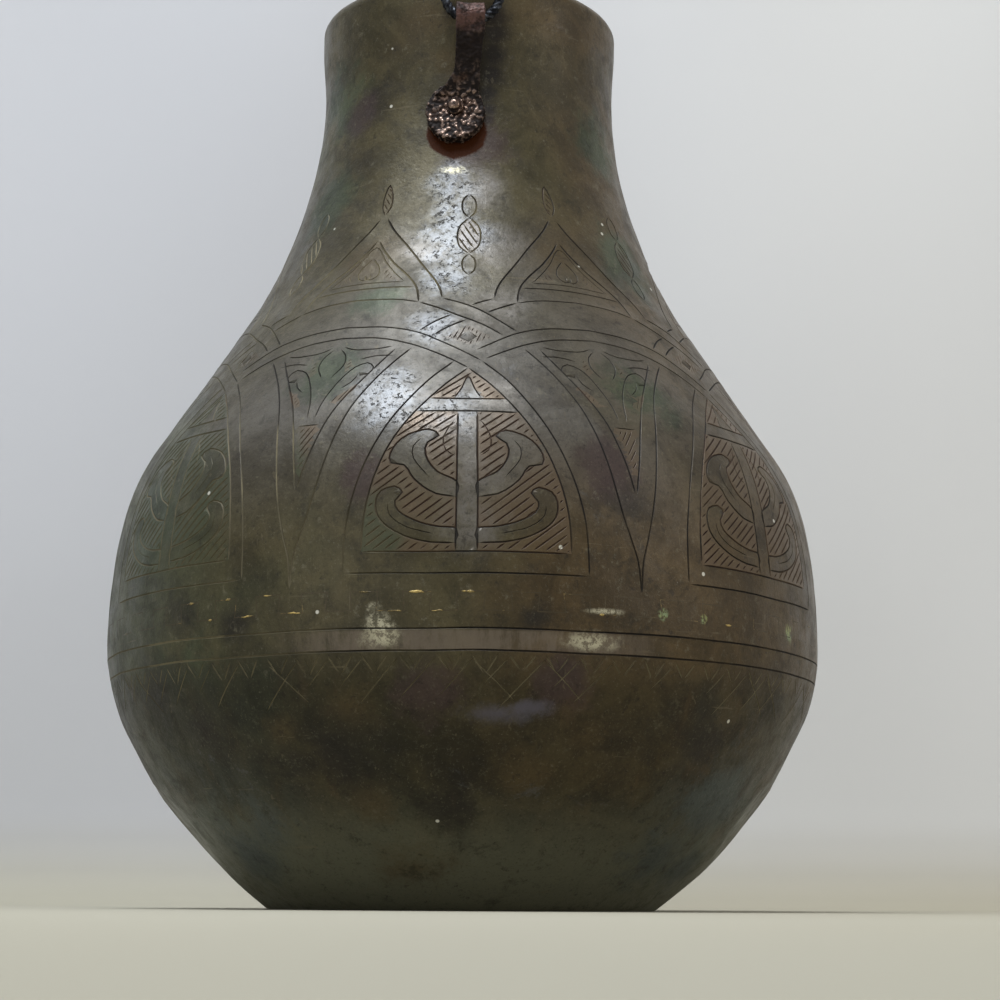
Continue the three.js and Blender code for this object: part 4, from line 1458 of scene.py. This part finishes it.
def black_iron(name):
    iron = Finish(name)
    rust = iron.cloud(120, 5, 0.65)
    worn = iron.ramp(iron.cloud(260, 5, 0.65), 0.4, 0.7)
    iron.base = iron.colour(tint(28, 29, 33), tint(84, 87, 94), worn)
    iron.lay(tint(72, 50, 40), iron.times(iron.ramp(rust, 0.58, 0.74), 0.6))
    iron.set(base_color=iron.base, metallic=iron.level(0.9, 0.4, iron.ramp(rust, 0.56, 0.74)))
    iron.set(roughness=iron.level(0.3, 0.6, iron.ramp(iron.cloud(180, 4, 0.6), 0.38, 0.66)))
    iron.bump(iron.cloud(700, 5, 0.7), 0.35, 0.0003)
    return iron.material


def dull_brass(name, show, bright):
    brass = Finish(name)
    cloud = brass.cloud(160, 5, 0.7)
    base = brass.colour(tint(80, 71, 54), bright, brass.ramp(cloud, *show))
    brass.set(base_color=base, metallic=0.5)
    brass.set(roughness=brass.level(0.35, 0.6, brass.ramp(brass.cloud(400, 4, 0.6), 0.4, 0.6)))
    brass.bump(brass.cloud(800, 4, 0.7), 0.2, 0.0002)
    return brass.material


rusty = scaly_iron("rusted_iron_scale")
black = black_iron("fire_black_iron")
joint_brass = dull_brass("joint_brass", (0.56, 0.7), tint(140, 120, 78))
bead_brass = dull_brass("bead_brass", (0.4, 0.6), tint(196, 170, 104))


def dress(piece, finish, body, slot, *nodes):
    """Gives a piece its finish, its body and the nodes that it stands for."""
    piece.data.materials.clear()
    piece.data.materials.append(finish)
    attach(piece, body)
    if nodes:
        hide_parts(*nodes)


dress(bowl_skin, copper, "vessel", "copper", "lower_bowl")
dress(neck_skin, copper, "vessel", "copper", "upper_body")
dress(solder_strip, joint_brass, "vessel", "copper")
dress(brass_beads, bead_brass, "vessel", "copper")
for end in ("front", "rear"):
    dress(lugs[end], rusty, "vessel", "rusted_iron", "lug_" + end)
    dress(rivets[end], rusty, "vessel", "rusted_iron", "rivet_" + end)
    dress(roves[end], copper, "vessel", "copper", "rove_" + end)
for piece in bail_pieces:
    dress(piece, black, "bail", "black_iron", "bail")
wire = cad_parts["rim_wire"]
for slot in wire.material_slots:
    slot.material = rusty

# %% [markdown]
# ## The studio
#
# The photograph was lit from high on the left with a wide soft light, helped by a second one low in
# front on the left. A pale cloth lies under the pot and is swept up behind it. The lamps stay at a
# plain level, and the ground is pale by the cloth's own colour, not from more light on the pot; only
# the cloth's brightening towards the right is painted light.

# %% Build the table, the backdrop and the lights
def soft_lamp(name, from_way, away, size, power, colour):
    """A soft lamp that looks at the pot's middle. from_way is where it stands, seen from there."""
    lamp = bpy.data.lights.new(name, "AREA")
    lamp.shape = "RECTANGLE"
    lamp.size, lamp.size_y = size
    lamp.energy = power
    lamp.color = colour
    stand = bpy.data.objects.new(name, lamp)
    target = Vector((0, 0, 0.18))
    stand.location = target + Vector(from_way).normalized() * away
    stand.rotation_euler = (target - stand.location).to_track_quat("-Z", "Y").to_euler()
    bpy.context.collection.objects.link(stand)


soft_lamp("overhead_softbox", (-0.2, -0.34, 0.92), 1.5, (1.0, 0.7), 19, (0.9, 0.95, 1.0))
soft_lamp("low_left_softbox", (-0.62, -0.76, 0.12), 1.7, (0.6, 0.9), 1.6, (0.97, 0.98, 1.0))
soft_lamp("right_fill", (0.85, -0.45, 0.3), 2.0, (0.9, 0.9), 4.5, (1.0, 0.96, 0.9))
print("lit by", [lamp.name for lamp in bpy.data.lights])

CLOTH_REACH = 2.2
WALL_FOOT = 0.34
WALL_BEND = 0.035


def swept(way):
    """The cloth's side curve, in metres: flat under the pot, bent up behind it, then a wall."""
    flat = WALL_FOOT + CLOTH_REACH
    turn = min(max((way - flat) / WALL_BEND, 0), math.pi / 2)
    over = max(0.0, way - flat - WALL_BEND * math.pi / 2)
    y = min(way, flat) - CLOTH_REACH + WALL_BEND * math.sin(turn)
    return y, WALL_BEND * (1 - math.cos(turn)) + over


cloth = bmesh.new()
bmesh.ops.create_grid(cloth, x_segments=110, y_segments=220, size=CLOTH_REACH)
for vert in cloth.verts:
    y, z = swept(vert.co.y + CLOTH_REACH)
    crease = 0.03 * min(1.0, z / 0.2) * noise.noise(Vector((vert.co.x * 5, z * 1.8, 3)))
    vert.co = Vector((vert.co.x, y + crease, z))
for face in cloth.faces:
    face.smooth = True
floor = as_object("white_cloth", cloth)


def cloth_finish(name):
    """Matt cloth, lighter towards the right as painted light. Seen from behind it is clear, so that it never
    stands before the pot.
    """
    matt = Finish(name)
    # Painted light: the cloth's colour brightens towards the right, as if lit more there.
    painted_light_rightward = matt.ramp(matt.sum(matt.axis("X"), matt.times(matt.cloud(3.0, 3, 0.5), 0.3)), 0.0, 0.5)
    wall = matt.colour(tint(215, 216, 221), tint(236, 236, 236), painted_light_rightward)
    table = matt.colour(tint(194, 190, 174), tint(192, 186, 168), painted_light_rightward)
    matt.set(base_color=matt.colour(table, wall, matt.ramp(matt.height(), 0.0, 0.06)),
             roughness=0.95, metallic=0.0, specular_ior_level=0.0)
    clear = matt.node("ShaderNodeBsdfTransparent").outputs[0]
    rays = matt.node("ShaderNodeLightPath").outputs["Is Camera Ray"]
    behind = matt.node("ShaderNodeNewGeometry").outputs["Backfacing"]
    inputs = {0: matt.times(rays, behind), 1: matt.metal.outputs[0], 2: clear}
    either = matt.node("ShaderNodeMixShader", inputs)
    matt.tree.links.new(either.outputs[0], matt.tree.nodes["Material Output"].inputs["Surface"])
    return matt.material


floor.data.materials.append(cloth_finish("matt_cloth"))

world = bpy.data.worlds.new("studio_air")
bpy.context.scene.world = world
world.use_nodes = True
backdrop = world.node_tree.nodes["Background"]
backdrop.inputs["Color"].default_value = tint(208, 208, 208)
backdrop.inputs["Strength"].default_value = 0.5

bpy.context.scene.view_settings.view_transform = "Standard"
